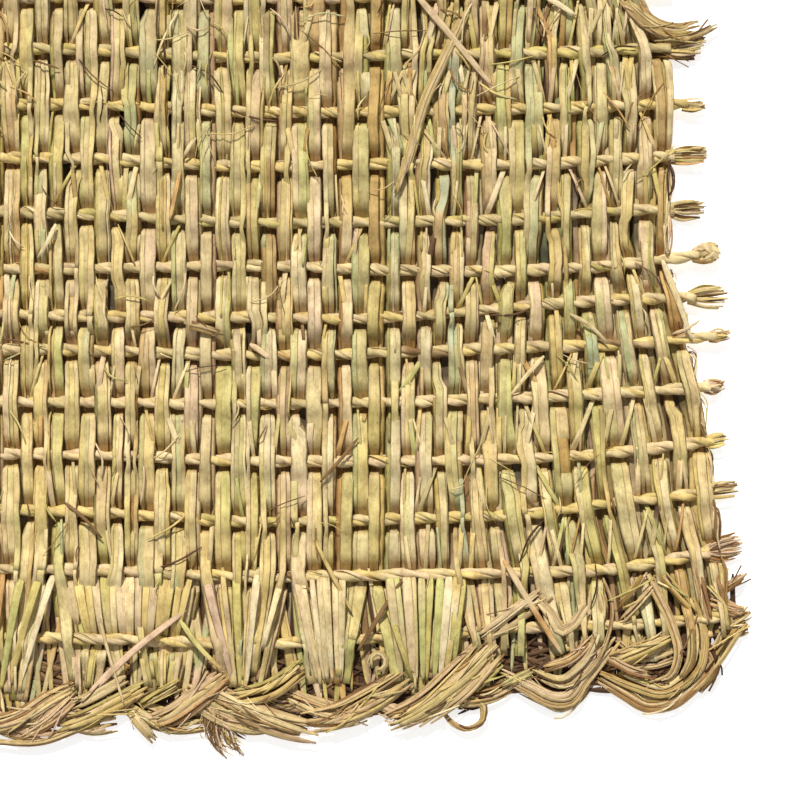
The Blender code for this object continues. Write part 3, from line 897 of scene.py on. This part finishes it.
def twisted_cord(bunch, number, line):
    chance = rng(2, number)
    line = line[line[:, 0] < line[-1, 0] - CORD_ENDS[number][2]]
    count = len(line)
    lay = PLY_LAY * (1 + wander(chance, count, 14, 0.3))
    turn = chance.uniform(0, 6) + np.cumsum(2 * np.pi * CORD_STEP / lay)
    for ply in range(2):
        angle = turn + ply * np.pi
        path = line.copy()
        path[:, 1] += PLY_OFFSET * np.cos(angle) + wander(chance, count, 6, 0.2)
        path[:, 2] += PLY_OFFSET * np.sin(angle) + wander(chance, count, 6, 0.2)
        spin = 1.3 * turn
        side = np.stack([np.zeros_like(spin), np.cos(spin), np.sin(spin)], 1)
        radius = PLY_RADIUS * (1 + wander(chance, count, 6, 0.16))
        shade = blended(chance, count, pick_shade(chance, TWINE), pick_shade(chance, TWINE))
        bunch.blade(path, side, radius, radius, shade, ply_section(), seed=chance.uniform(0, 100))
    for _ in range(WRAPPING_LEAVES):
        wrapping_leaf(bunch, chance, line, turn)


def wrapping_leaf(bunch, chance, line, turn):
    """A flat leaf that lies around the cord along a part of it."""
    first = chance.integers(0, len(line) - 30)
    part = slice(first, first + chance.integers(12, 28))
    angle = turn[part] + chance.uniform(0, 6)
    around = np.stack([np.zeros_like(angle), np.cos(angle), np.sin(angle)], 1)
    path = line[part] + WRAPPING_RADIUS * around
    side = np.stack([np.zeros_like(angle), -np.sin(angle), np.cos(angle)], 1)
    half = chance.uniform(0.8, 1.5) * np.sin(np.linspace(0.2, np.pi - 0.2, len(angle))) ** 0.5
    bunch.blade(path, side, half, 0.25, pick_shade(chance, TWINE), STALK_SECTION, seed=chance.uniform(0, 100))


def cord_end(bunch, number, line):
    """The blades of a cord's right end, apart and spread."""
    chance = rng(4, number)
    blades, spread, opened, knot_radius, shades = CORD_ENDS[number]
    tip = line[-1]
    root_x = tip[0] - opened - 4
    root = np.array([root_x, np.interp(root_x, line[:, 0], line[:, 1]), tip[2]])
    for _ in range(blades):
        fan = chance.uniform(-1, 1)
        reach = tip[0] - 0.6 * spread * fan**2 + chance.uniform(-3.5, 0.8)
        end = np.array([reach, tip[1] + spread * fan, max(tip[2] + chance.uniform(-4, 2.5), 0.8)])
        start = root + (0, 2.3 * fan + chance.uniform(-0.6, 0.6), chance.uniform(-1.8, 1.8))
        bow = (0, 0.2 * spread * fan + chance.uniform(-1, 1), chance.uniform(-0.5, 1.5))
        path = curve([start, (start + end) / 2 + bow, end], 1.6)
        t = np.linspace(0, 1, len(path))
        half = chance.uniform(0.35, 1.1) * (1 - 0.5 * t**3)
        tilt = chance.uniform(-0.8, 0.8)
        side = np.array([0, np.cos(tilt), np.sin(tilt)])
        # One blade in five gets the painted shadow's brown.
        shade = pick_shade(chance, shades) * (SHADOW_TINT if chance.random() < 0.2 else 1)
        bunch.blade(path, side, half, 0.4 * half, shade, seed=chance.uniform(0, 100))
    if knot_radius:
        knot(bunch, chance, np.array([tip[0] - opened * 0.6, tip[1], tip[2]]), knot_radius)


def knot(bunch, chance, centre, radius):
    """A round knot of blades that go around it."""
    for _ in range(KNOT_BLADES):
        axis = unit(chance.normal(size=3))
        one = unit(np.cross(axis, (0, 0, 1) if abs(axis[2]) < 0.9 else (1, 0, 0)))
        other = np.cross(axis, one)
        angle = chance.uniform(0, 6) + np.linspace(0, chance.uniform(3, 5.5), 14)[:, None]
        size = radius * chance.uniform(0.8, 1.0)
        path = centre + size * (one * np.cos(angle) + other * np.sin(angle)) * (1, 1, 0.6)
        half = chance.uniform(0.8, 1.5)
        bunch.blade(path, axis, half, 0.35, pick_shade(chance, TWINE), seed=chance.uniform(0, 100))


def single_blade(
    bunch, chance, rows, half_width, shades, half_thick=0.3, section=BLADE_SECTION, narrowing=0.0
):
    """A lone blade or stalk through places on the mat, whose end is narrower than its start by a share."""
    path = curve(on_mat(rows), LOCK_STEP)
    count = len(path)
    t = np.linspace(0, 1, count)
    half = half_width * (1 - 0.6 * np.abs(2 * t - 1) ** 6) * (1 + wander(chance, count, 6, 0.1))
    half = half * (1 - narrowing * t)
    along = unit(np.gradient(path, axis=0))
    tilt = chance.uniform(-0.3, 0.3)
    side = unit(np.cross((0, 0, 1), along)) + np.array((0, 0, tilt))
    shade = blended(chance, count, pick_shade(chance, shades), pick_shade(chance, shades))
    bunch.blade(path, side, half, half_thick, shade, section, seed=chance.uniform(0, 100))


DIVE = 323.0  # blades that end above this go below the last cord
CORNER = 245.0  # right of this the locks are looser, and more of the stems in and below them have painted shade


def make_fans():
    """Loose wide blades over the fans."""
    bunch = Bunch()
    blades = []
    for number, (left, right, foot_left, foot_right, y, count, half, shades) in enumerate(FAN_SHEETS):
        chance = rng(9, number)
        for share in chance.permutation(count) / (count - 1):
            top = (left + (right - left) * share + chance.uniform(-1, 1), FAN_TOP - 1)
            foot = (foot_left + (foot_right - foot_left) * share + chance.uniform(-1, 1), y)
            blades.append((top, foot, half * chance.uniform(0.7, 1.1), shades))
    for number, ((x, y), (end_x, end_y), half, shades) in enumerate(blades + list(FAN_BLADES)):
        chance = rng(8, number)
        dives = end_y < DIVE
        lean = (end_x - x) / (end_y - y)
        height = chance.uniform(8.6, 9.2) if dives else chance.uniform(10.6, 11.2)
        rows = [(x, y, 4.5), (x + 5 * lean, y + 5, height - 2), (x + 9 * lean, y + 9, height)]
        if dives:
            rows += [(end_x - 6 * lean, end_y - 6, height - 1), (end_x, end_y, 2.0)]
        else:
            rows += [(x + 35 * lean, y + 35, height), (end_x, end_y, 5.0)]
        single_blade(bunch, chance, rows, half, shades, 0.25, narrowing=0.45)
    bunch.make("loose_blades")


LOCK_PAINTED_SHADE = 0.6  # how much of the painted shadow's brown the lowest stems of a lock get
LOCK_THICKEST = 3.2
LOCK_DIP = 2.2
LOOSE_STEMS = 0.7  # how many of its stems a lock right of CORNER has


def lock(bunch, chance, places, level, half_wide, stems, shades):
    """A lock of stems along places on the mat. It crosses others at its level and dips at its ends."""
    places = np.array(places, float)
    t = np.linspace(-1, 1, len(places))[:, None]
    half_thick = min(0.6 * half_wide, LOCK_THICKEST)
    height = np.maximum(level - LOCK_DIP * t**2, half_thick + 0.3)
    centre = curve(on_mat(np.hstack([places, height])), LOCK_STEP)
    count = len(centre)
    t = np.linspace(0, 1, count)
    along = unit(np.gradient(centre, axis=0))
    side = unit(np.cross((0, 0, 1), along))
    up = np.cross(along, side)
    pinch = 0.8 + 0.2 * np.sin(np.pi * t)
    lock_shade = pick_shade(chance, shades)
    # A dark ribbon below the stems, in the painted shade's dark browns, which shows between them.
    if count > 10:
        part = slice(3, count - 3)
        shaded_base = blended(chance, count, pick_shade(chance, SHADED_DARKS), pick_shade(chance, SHADED_DARKS))[part]
        wide = 0.65 * half_wide * (1 - 0.7 * np.linspace(-1, 1, count - 6) ** 6)
        low = (centre - 0.9 * half_thick * up)[part]
        bunch.blade(low, side[part], wide, 0.3, shaded_base, STALK_SECTION)
    loose = places[0, 0] > CORNER
    stems = math.ceil(stems * (LOOSE_STEMS if loose else 1.0))
    most = min(12.0, 0.2 * count * LOCK_STEP)
    for i in range(stems):
        place = (2 * i + 1) / stems - 1
        first_place, last_place = np.clip(place + chance.uniform(-0.5, 0.5, 2), -1, 1)
        across = first_place + (last_place - first_place) * t + wander(chance, count, 8, 0.12)
        top = np.sqrt(np.clip(1 - across**2, 0.05, 1)) * chance.uniform(0.3, 1.0)
        if chance.random() < 0.3:
            top = -top
        first = int(chance.uniform(0, most) / LOCK_STEP)
        last = count - int(chance.uniform(0, most) / LOCK_STEP)
        part = slice(first, last)
        path = centre + side * (across * half_wide * pinch)[:, None] + up * (top * half_thick)[:, None]
        tilt = 0.5 * across + chance.uniform(-0.4, 0.4) + wander(chance, count, 10, 0.2)
        flat = side * np.cos(tilt)[:, None] - up * np.sin(tilt)[:, None]
        half = chance.uniform(0.45, 0.85 + 0.15 * min(half_wide, 3.5)) * (1 + wander(chance, count, 8, 0.15))
        half = half[part] * (1 - 0.55 * np.abs(np.linspace(-1, 1, last - first)) ** 8)
        one = related_shade(chance, lock_shade, shades)
        other = related_shade(chance, lock_shade, PLAIT)
        # Painted shade: the lower a stem lies in the lock, the more of the shadow's brown it gets.
        stem_shadow = LOCK_PAINTED_SHADE * (1 - np.clip(top, 0, 1))[:, None]
        shade = blended(chance, count, one, other) * (1 - stem_shadow + stem_shadow * SHADOW_TINT)
        # Some stems get the painted shadow's brown all along, more of them in looser locks.
        if chance.random() < (0.16 if loose else 0.08):
            shade = shade * SHADOW_TINT
        thick = chance.uniform(0.3, 0.5)
        bunch.blade(path[part], flat[part], half, thick, shade[part], seed=chance.uniform(0, 100))
    for _ in range(int(0.5 * stems)):
        lock_hair(bunch, chance, centre, side, half_wide, half_thick, shades)


def lock_hair(bunch, chance, centre, side, half_wide, half_thick, shades):
    """A thin stem that has come loose from a lock and leaves its direction."""
    count = chance.integers(4, 10)
    first = chance.integers(0, max(len(centre) - count, 1))
    part = slice(first, first + count)
    path = centre[part] + side[part] * (half_wide * chance.uniform(-1, 1))
    t = np.linspace(-1, 1, len(path))
    path = path + side[part] * (chance.uniform(-0.5, 0.5) * LOCK_STEP * 0.5 * count * t)[:, None]
    path[:, 2] += half_thick * (chance.uniform(0.6, 1.3) - 0.8 * t**2)
    shade = pick_shade(chance, OLD if chance.random() < 0.25 else shades)
    half = chance.uniform(0.2, 0.55)
    bunch.blade(path, side[part], half, half * 0.7, shade, STALK_SECTION, seed=chance.uniform(0, 100))


# The lower border's locks, from the left end to the corner and up its right side, all on the mat.
LOWER_LOCKS = (
    # route, level, half width, stems, shades
    (((-20, 368), (0, 371.5), (20, 371.5), (36, 366), (50, 360), (66, 353)), 6.5, 1.3, 4, LIGHT),
    (((-16, 352), (-4, 360), (12, 366), (28, 366)), 5, 5.0, 16, PLAIT),
    (((-14, 364), (0, 362), (12, 358), (24, 351), (38, 344)), 7.5, 4.6, 15, PLAIT),
    (((10, 368), (25, 359), (40, 346)), 7.5, 3.6, 10, ROSY),
    (((18, 350), (32, 358), (46, 363), (58, 362)), 4, 5.0, 14, PLAIT),
    (((28, 365), (45, 358), (60, 350), (73, 343)), 7.5, 4.4, 14, YELLOW),
    (((36, 354), (50, 346), (63, 339)), 9, 2.6, 6, LIGHT),
    (((60, 350), (74, 358), (88, 362), (104, 361)), 4, 5.5, 16, PLAIT),
    (((63, 354), (70, 363), (77, 371)), 6, 2.2, 7, LIGHT),
    (((66, 355), (76, 361), (85, 367)), 6.5, 1.8, 6, LIGHT),
    (((71, 353), (90, 341)), 8.5, 2.8, 7, MOSSY),
    (((76, 362), (87, 357), (100, 348), (113, 338)), 8, 5.4, 18, RUST),
    (((92, 345), (108, 356), (124, 362), (138, 362)), 4.5, 5.5, 16, PLAIT),
    (((106, 346), (124, 356), (140, 362.5), (159, 368)), 7, 6.0, 20, LIGHT),
    (((114, 350), (135, 345), (153, 333)), 8.5, 4.6, 14, YELLOW),
    (((140, 347), (156, 354), (172, 358), (186, 357)), 4.5, 5.0, 14, PLAIT),
    (((151, 362), (170, 358), (186, 350), (204, 338)), 7.5, 6.2, 22, PLAIT),
    (((157, 361), (172, 360), (187, 354), (202, 344)), 9, 1.7, 3, YELLOW),
    (((184, 350), (196, 356), (208, 358), (222, 351)), 6, 3.8, 11, RUST),
    (((194, 362), (210, 354), (226, 341), (247, 321)), 8, 7.2, 26, PLAIT),
    (((210, 364), (234, 345), (251, 326)), 9, 2.2, 5, LIGHT),
    (((218, 344), (232, 350), (246, 348), (258, 342)), 4, 4.0, 12, PLAIT),
    (((234, 346), (251, 332)), 8.5, 3.2, 7, MOSSY),
    (((251, 343), (268, 334)), 8.5, 2.6, 6, MOSSY),
    (((221, 356), (226, 362), (234, 365), (241, 361), (241, 353), (234, 348), (226, 349)), 5, 1.1, 6, PLAIT),
    (((250, 336), (264, 343), (279, 349.5), (284, 349), (290, 341), (308, 319)), 6.5, 4.2, 16, PLAIT),
    (((260, 347), (271, 352), (281, 355.5), (285, 354), (302, 333)), 4, 1.9, 7, LIGHT),
    (((266, 336), (282, 341), (291, 335), (301, 317), (303, 303), (299, 290)), 8.5, 3.6, 12, LIGHT),
    (((268, 299), (276, 308), (281, 315), (285, 313), (293, 302)), 10.5, 2.4, 6, LIGHT),
    (((338, 350), (350, 341), (361, 327), (368, 317), (375, 309)), 6, 2.2, 9, YELLOW),
    (((272, 334), (286, 329), (298, 318)), 9.5, 2.6, 6, ROSY),
    (((300, 326), (312, 330), (326, 331), (342, 326)), 4, 5.0, 14, PLAIT),
    (
        ((298, 338), (313, 347), (324, 353), (335, 352), (346, 344), (358, 328), (365, 312)),
        *(4.5, 3.2, 12, LIGHT),
    ),
    (
        ((301, 335), (318, 342), (332, 345), (341, 340), (348, 333), (350, 325), (349, 312), (344, 300)),
        *(7, 3.8, 14, FAN),
    ),
    (((304, 329), (315, 335), (328, 339)), 10.5, 2.0, 3, ROSY),
    (((322, 343), (336, 337), (339, 328), (336, 313), (329, 298), (322, 285)), 10, 2.2, 6, LIGHT),
    (((306, 331), (323, 324), (338, 317)), 8.5, 4.2, 12, PLAIT),
    (((328, 284), (347, 308)), 10, 2.8, 6, YELLOW),
    (((345, 308), (344, 332), (339, 341)), 10.5, 2.3, 3, YELLOW),
    (((348, 283), (356, 315)), 10, 2.0, 4, LIGHT),
    (((357, 283), (362, 302), (365, 315)), 7, 2.6, 8, PLAIT),
    (((352, 320), (358, 334), (350, 346)), 5, 2.5, 7, OLD),
    (((355, 300), (371, 307)), 9, 2.8, 7, ROSY),
    (((360, 297), (374, 287)), 8, 1.8, 5, PLAIT),
    (((362, 314), (376, 307)), 7, 2.0, 5, LIGHT),
    (((363, 319), (375, 316)), 5, 1.7, 5, PLAIT),
    (((124, 347), (139, 352), (156, 354)), 3, 5.0, 16, OLD),
)
LOWER_PIECES = (range(0, 12), (*range(12, 25), 46), range(25, 46))
UNDER_STEMS = (115, 115, 75)  # in each of the lower border's pieces

# The lower border's outer edge, from the left end to the corner.
LOWER_EDGE = np.array(
    # x, y
    ((-30, 366), (0, 371), (26, 370), (62, 358), (84, 364), (125, 364), (158, 367), (184, 359), (216, 361))
    + ((235, 360), (253, 346), (281, 355), (296, 345), (325, 355), (343, 349), (356, 333), (366, 316))
    + ((376, 308),)
)
BAND_TOP = 324.0
LEFT_EDGE = -29.0
SIDE_EDGE = 367.0


def under_stems(bunch, chance, count, left, right):
    """Stems low in the border, between the last cord and the border's outer edge. The lowest ones and those
    right of CORNER have the painted shade's dark browns.
    """
    for _ in range(count):
        x = chance.uniform(left, right)
        edge = np.interp(x, *LOWER_EDGE.T)
        y = chance.uniform(min(BAND_TOP, edge - 12), edge - 4)
        heading = chance.choice([-1, 1]) * chance.uniform(0.1, 0.8)
        reach = chance.uniform(12, 26)
        t = np.linspace(-1, 1, 4)
        rows = np.stack([x + reach * t * np.cos(heading), y + reach * t * np.sin(heading)], 1)
        rows[:, 1] = np.minimum(rows[:, 1], np.interp(rows[:, 0], *LOWER_EDGE.T) - 2.5)
        rows[:, 0] = np.clip(rows[:, 0], LEFT_EDGE, SIDE_EDGE)
        low = chance.uniform(0.8, 3.2)
        # The painted shade's dark browns for the lowest stems and those right of CORNER.
        shades = SHADED_DARKS if x > CORNER or low < 2 else OLD
        rows = np.hstack([rows, np.full((4, 1), low)])
        single_blade(bunch, chance, rows, chance.uniform(0.5, 1.4), shades, 0.4)


LINING_STEP = 3.6
LININGS = (
    # height, shades, most lean, how far from the outer edge they end, least and most half width
    # The lowest lining's dark browns are painted shade.
    (0.6, SHADED_DARKS, 3, 4, 2.6, 3.2),
    (3.2, WEAVE, 8, 9, 1.0, 2.4),
)
# Right of these places, on the mat, the upper stems of the lining are thinned out by a share.
THINNED = ((295, 0.85), (CORNER, 0.6))


def lining_stems(bunch, chance, left, right):
    """Stems below the fans: dark ones on the floor that close the view, coloured as painted shade, and paler
    ones on them.
    """
    for x in np.arange(left, right, LINING_STEP):
        left_out = next((share for start, share in THINNED if x > start), None)
        for z, shades, most, reach, least_half, most_half in LININGS:
            if shades is WEAVE and left_out and chance.random() < left_out:
                continue
            lean = chance.uniform(-most, most)
            top = (x - lean, FAN_TOP + chance.uniform(-3, 3), z)
            foot = np.interp(x + lean, *LOWER_EDGE.T) - reach - chance.uniform(0, 2 * z)
            middle = (x + chance.uniform(-1, 1), (top[1] + foot) / 2, z + chance.uniform(0, 0.5))
            half = chance.uniform(least_half, most_half)
            single_blade(bunch, chance, [top, middle, (x + lean, foot, z)], half, shades, 0.3, STALK_SECTION)


TUFT_STEMS = 70
TUFT_ROOTS = ((101, 114), (350, 357), (3, 8))  # least and most x, y and height of where they start
TUFT_TIPS = (101, 123)
TUFT_LOWEST = (116, 381)
TUFT_ROUNDNESS = 0.055


def tuft(bunch, chance):
    """The dark wisps that hang from the lower border."""
    for _ in range(TUFT_STEMS):
        start = [chance.uniform(*ends) for ends in TUFT_ROOTS]
        end_x = chance.uniform(*TUFT_TIPS)
        end_y = TUFT_LOWEST[1] - TUFT_ROUNDNESS * (end_x - TUFT_LOWEST[0]) ** 2 - chance.uniform(0, 12)
        bow = chance.uniform(-4, 1)
        middle = ((start[0] + end_x) / 2 + bow, (start[1] + end_y) / 2 - bow / 2, 4.5)
        near = ((middle[0] + end_x) / 2 + bow / 2, (middle[1] + end_y) / 2 + 1, 3)
        shades = OLD if chance.random() < 0.55 else PLAIT
        rows = [start, middle, near, (end_x, end_y, chance.uniform(0.6, 2.0))]
        single_blade(bunch, chance, rows, chance.uniform(0.2, 0.5), shades, 0.2, STALK_SECTION)


def make_lower_border():
    for i, rows in enumerate(LOWER_PIECES):
        bunch = Bunch()
        for row in rows:
            lock(bunch, rng(5, row), *LOWER_LOCKS[row])
        left = LOWER_LOCKS[rows[0]][0][0][0]
        right = max(x for row in rows for x, _ in LOWER_LOCKS[row][0])
        under_stems(bunch, rng(10, i), UNDER_STEMS[i], left, right)
        lining_stems(bunch, rng(16, i), left, min(right, SIDE_EDGE - 4))
        if i == 0:
            tuft(bunch, rng(11, 0))
        bunch.make(f"border_low_{i + 1:02d}", ["border_bottom"])


UPPER_PAIRS = 9
UPPER_PITCH = 41.5
UPPER_LEFT = -20.0
# The pair of locks that the upper border repeats, with x from the pair's own start.
UPPER_LOCKS = (
    # random stream, route, level, half width, stems
    (6, ((0, -18), (16, -25), (34, -24), (50, -17)), 5, 4.6, 15),
    (12, ((-6, -28), (12, -26), (28, -20), (38, -15)), 8, 4.2, 14),
)


def make_upper_border():
    bunch = Bunch()
    for i in range(UPPER_PAIRS):
        start = UPPER_LEFT + i * UPPER_PITCH
        for stream, route, *sizes in UPPER_LOCKS:
            lock(bunch, rng(stream, i), [(start + x, y) for x, y in route], *sizes, PLAIT)
    bunch.make("border_high", ["border_top"])


# Stalks and leaves that lie on the weave.
STRAYS = (
    # from, to, half width, shades
    ((206, -5), (246, 43), 1.8, RUST),
    ((272, -2), (288, 8), 1.6, LIGHT),
    ((98, 69), (92, 79), 1.2, LIGHT),
    ((90, 86), (85, 110), 1.3, ROSY),
    ((28, 112), (19, 129), 1.3, LIGHT),
    ((285, 157), (304, 172), 1.2, LIGHT),
    ((272, 178), (255, 198), 1.3, LIGHT),
    ((179, 219), (160, 241), 1.0, OLD),
    ((32, 251), (51, 269), 1.1, OLD),
    ((157, 269), (176, 306), 1.2, PLAIT),
    ((201, 290), (179, 325), 1.3, OLD),
    ((90, 310), (111, 335), 1.5, YELLOW),
    ((49, 306), (62, 352), 1.0, LIGHT),
    ((336, 167), (350, 160), 1.0, LIGHT),
    ((331, 130), (346, 170), 1.8, LIGHT),
    ((252, 280), (281, 327), 1.9, ROSY),
    ((125, 172), (136, 180), 1.8, ROSY),
    ((94, 160), (110, 166), 1.0, OLD),
    ((45, 346), (93, 305), 2.2, ROSY),
)
# Locks that have left the weave and lie across it.
LOOSE_LOCKS = (
    # route, level, half width, stems, shades
    (((234, 4), (221, 32), (212, 52), (206, 73), (199, 97)), 11.2, 2.4, 9, WEAVE),
    (((236, 322), (254, 309), (274, 295)), 9.5, 4.6, 9, LIGHT),
    (((92, 162), (102, 164), (112, 167)), 10.6, 1.8, 5, OLD),
    (((308, -6), (319, 6), (328, 13), (338, 15.5), (350, 13)), 8.5, 3.4, 16, BUSH),
    (((328, 17), (338, 18.5), (349, 17.5)), 7.5, 2.6, 12, BUSH),
    (((334, 19), (346, 18), (359, 12.5)), 7, 1.4, 7, BUSH),
    (((324, 25), (336, 26.5), (348, 27)), 4.5, 2.6, 12, OLD),
    (((323, 286), (316, 295), (309, 304)), 10.8, 1.5, 5, YELLOW),
    (((327, 293), (319, 302), (311, 311)), 10.8, 1.9, 6, YELLOW),
    (((186, 334), (185.5, 329), (189, 326.5), (192.5, 329), (192, 334), (188.5, 335.5)), 9, 0.9, 5, LIGHT),
)
RANDOM_STRAYS = 170
LEANING = 250
MESSY_SHARE = 0.5  # of the leaning blades, those in the loosest parts
MESSY_PARTS = (
    # from bundle, to bundle, from cord, to cord
    (26, 42, 0, 4),
    (27, 43, 7, 11),
)
STRAY_Z = 10.9


def make_strays(courses):
    bunch = Bunch()
    for number, (start, end, half, shades) in enumerate(STRAYS):
        chance = rng(13, number)
        start, end = np.array(start, float), np.array(end, float)
        middle = (start + end) / 2 + chance.uniform(-1.5, 1.5, 2)
        rows = [(*start, STRAY_Z - 0.8), (*middle, STRAY_Z + 0.4), (*end, STRAY_Z - 0.8)]
        single_blade(bunch, chance, rows, half, shades, 0.4, narrowing=0.25)
    for number, row in enumerate(LOOSE_LOCKS):
        lock(bunch, rng(17, number), *row)
    chance = rng(14, 0)
    for number in range(RANDOM_STRAYS):
        x, y = chance.uniform(-8, 330), chance.uniform(-10, 300)
        if number % 3 == 0:
            y = chance.uniform(-10, 75)
        heading = chance.normal(0, 0.5) + (np.pi / 2 if chance.random() < 0.25 else 0)
        reach = chance.uniform(4, 14)
        step = np.array((np.sin(heading), np.cos(heading))) * reach
        bow = chance.uniform(-3, 3)
        rows = [
            (x - step[0], y - step[1], STRAY_Z - 2.5),
            (x + bow * np.cos(heading), y - bow * np.sin(heading), STRAY_Z),
            (x + step[0], y + step[1], STRAY_Z - 2.0),
        ]
        shades = OLD if chance.random() < 0.3 else WEAVE
        single_blade(bunch, chance, rows, chance.uniform(0.2, 0.6), shades, 0.25, STALK_SECTION)
    for _ in range(LEANING):
        leaning_blade(bunch, chance, courses)
    edge_fibres(bunch, courses[-1])
    bunch.make("strays")


def leaning_blade(bunch, chance, courses):
    """A blade that has left its bundle between two cords and leans over to the next one."""
    messy = chance.random() < MESSY_SHARE
    part = MESSY_PARTS[chance.integers(len(MESSY_PARTS))] if messy else (0, len(courses), 0, LAST_CORD - 1)
    course = courses[chance.integers(*part[:2])]
    number = chance.integers(*part[2:])
    (upper, _), (lower, _) = course.crossings[number : number + 2]
    x = course.middle_at(upper) + chance.uniform(-3, 3)
    lean = chance.normal(0, 6.5 if messy else 4.5)
    steps = ((0.0, 2.5), (0.28, 7.6), (0.5, 8.3), (0.75, 7.8), (1.0, 2.5))
    path = curve([(x + share * lean, upper + share * (lower - upper), z) for share, z in steps], BLADE_STEP)
    half = chance.uniform(0.5, 1.5) * (1 + wander(chance, len(path), 6, 0.15))
    shades = OLD if chance.random() < 0.12 else WEAVE
    shade = blended(chance, len(path), pick_shade(chance, shades), pick_shade(chance, WEAVE))
    bunch.blade(path, (1, 0, chance.uniform(-0.3, 0.3)), half, 0.3, shade, seed=chance.uniform(0, 100))


def edge_fibres(bunch, course):
    """Fine fibres that bow out past the right edge between one cord and the next."""
    chance = rng(15, 0)
    for (upper, _), (lower, _) in zip(course.crossings[3:-1], course.crossings[4:]):
        for _ in range(chance.integers(3, 8)):
            top, bottom = upper - chance.uniform(0, 8), lower + chance.uniform(0, 8)
            middle = (top + bottom) / 2
            edge = course.middle_at(middle) + 2.8
            bow = chance.uniform(-1, 2.5)
            z = chance.uniform(2, 10)
            path = [
                (course.middle_at(top) + 3, top, z),
                (edge + bow, middle + 5, z + 1),
                (edge + bow, middle - 5, z + 1),
                (course.middle_at(bottom) + 3, bottom, z),
            ]
            path = curve(path, 2.2)
            half = chance.uniform(0.25, 0.6)
            shade = pick_shade(chance, PLAIT if chance.random() < 0.5 else OLD)
            bunch.blade(path, (1, 0, 0.3), half, 0.3, shade, STALK_SECTION, seed=chance.uniform(0, 100))


def studio():
    """A pale floor, a high sun from the upper border's side, and a fill."""
    bpy.ops.mesh.primitive_plane_add(size=6)
    floor = bpy.context.object
    floor.name = "floor"
    material = bpy.data.materials.new("floor")
    material.use_nodes = True
    shader = material.node_tree.nodes["Principled BSDF"]
    shader.inputs["Base Color"].default_value = (0.9, 0.9, 0.9, 1)
    shader.inputs["Roughness"].default_value = 0.9
    shader.inputs["Emission Color"].default_value = (1, 1, 1, 1)
    shader.inputs["Emission Strength"].default_value = 0.65
    floor.data.materials.append(material)

    world = bpy.data.worlds.new("studio")
    bpy.context.scene.world = world
    world.use_nodes = True
    world.node_tree.nodes["Background"].inputs["Color"].default_value = (1, 1, 1, 1)
    world.node_tree.nodes["Background"].inputs["Strength"].default_value = 0.34

    sun = bpy.data.lights.new("sun", "SUN")
    sun.energy = 3.6
    sun.angle = math.radians(4)
    sun.color = (1.0, 0.96, 0.88)
    lamp = bpy.data.objects.new("sun", sun)
    lamp.rotation_euler = (math.radians(-42), math.radians(-10), 0)
    bpy.context.scene.collection.objects.link(lamp)


CAMERA_HEIGHT = 1600.0
SEEN_SIDE = 400.0
SEEN_MIDDLE = (200.0, 200.0)
SENSOR = 36.0
WEAVE_TOP = 9.0


def camera():
    """Straight above the photo's own part of the mat."""
    data = bpy.data.cameras.new("camera")
    data.sensor_width = SENSOR
    data.lens = SENSOR * CAMERA_HEIGHT / SEEN_SIDE
    seat = bpy.data.objects.new("camera", data)
    seat.location = (
        (MARK[0] + SEEN_MIDDLE[0]) * MM,
        (MARK[1] - SEEN_MIDDLE[1]) * MM,
        (CAMERA_HEIGHT + WEAVE_TOP) * MM,
    )
    bpy.context.scene.collection.objects.link(seat)
    bpy.context.scene.camera = seat


def main():
    bpy.context.scene.view_settings.view_transform = "Standard"
    camera()
    studio()
    cord_lines = [cord_line(name) for name in CORDS]
    courses = make_bundles(cord_lines)
    make_cords(cord_lines)
    make_fans()
    make_lower_border()
    make_upper_border()
    make_strays(courses)


main()
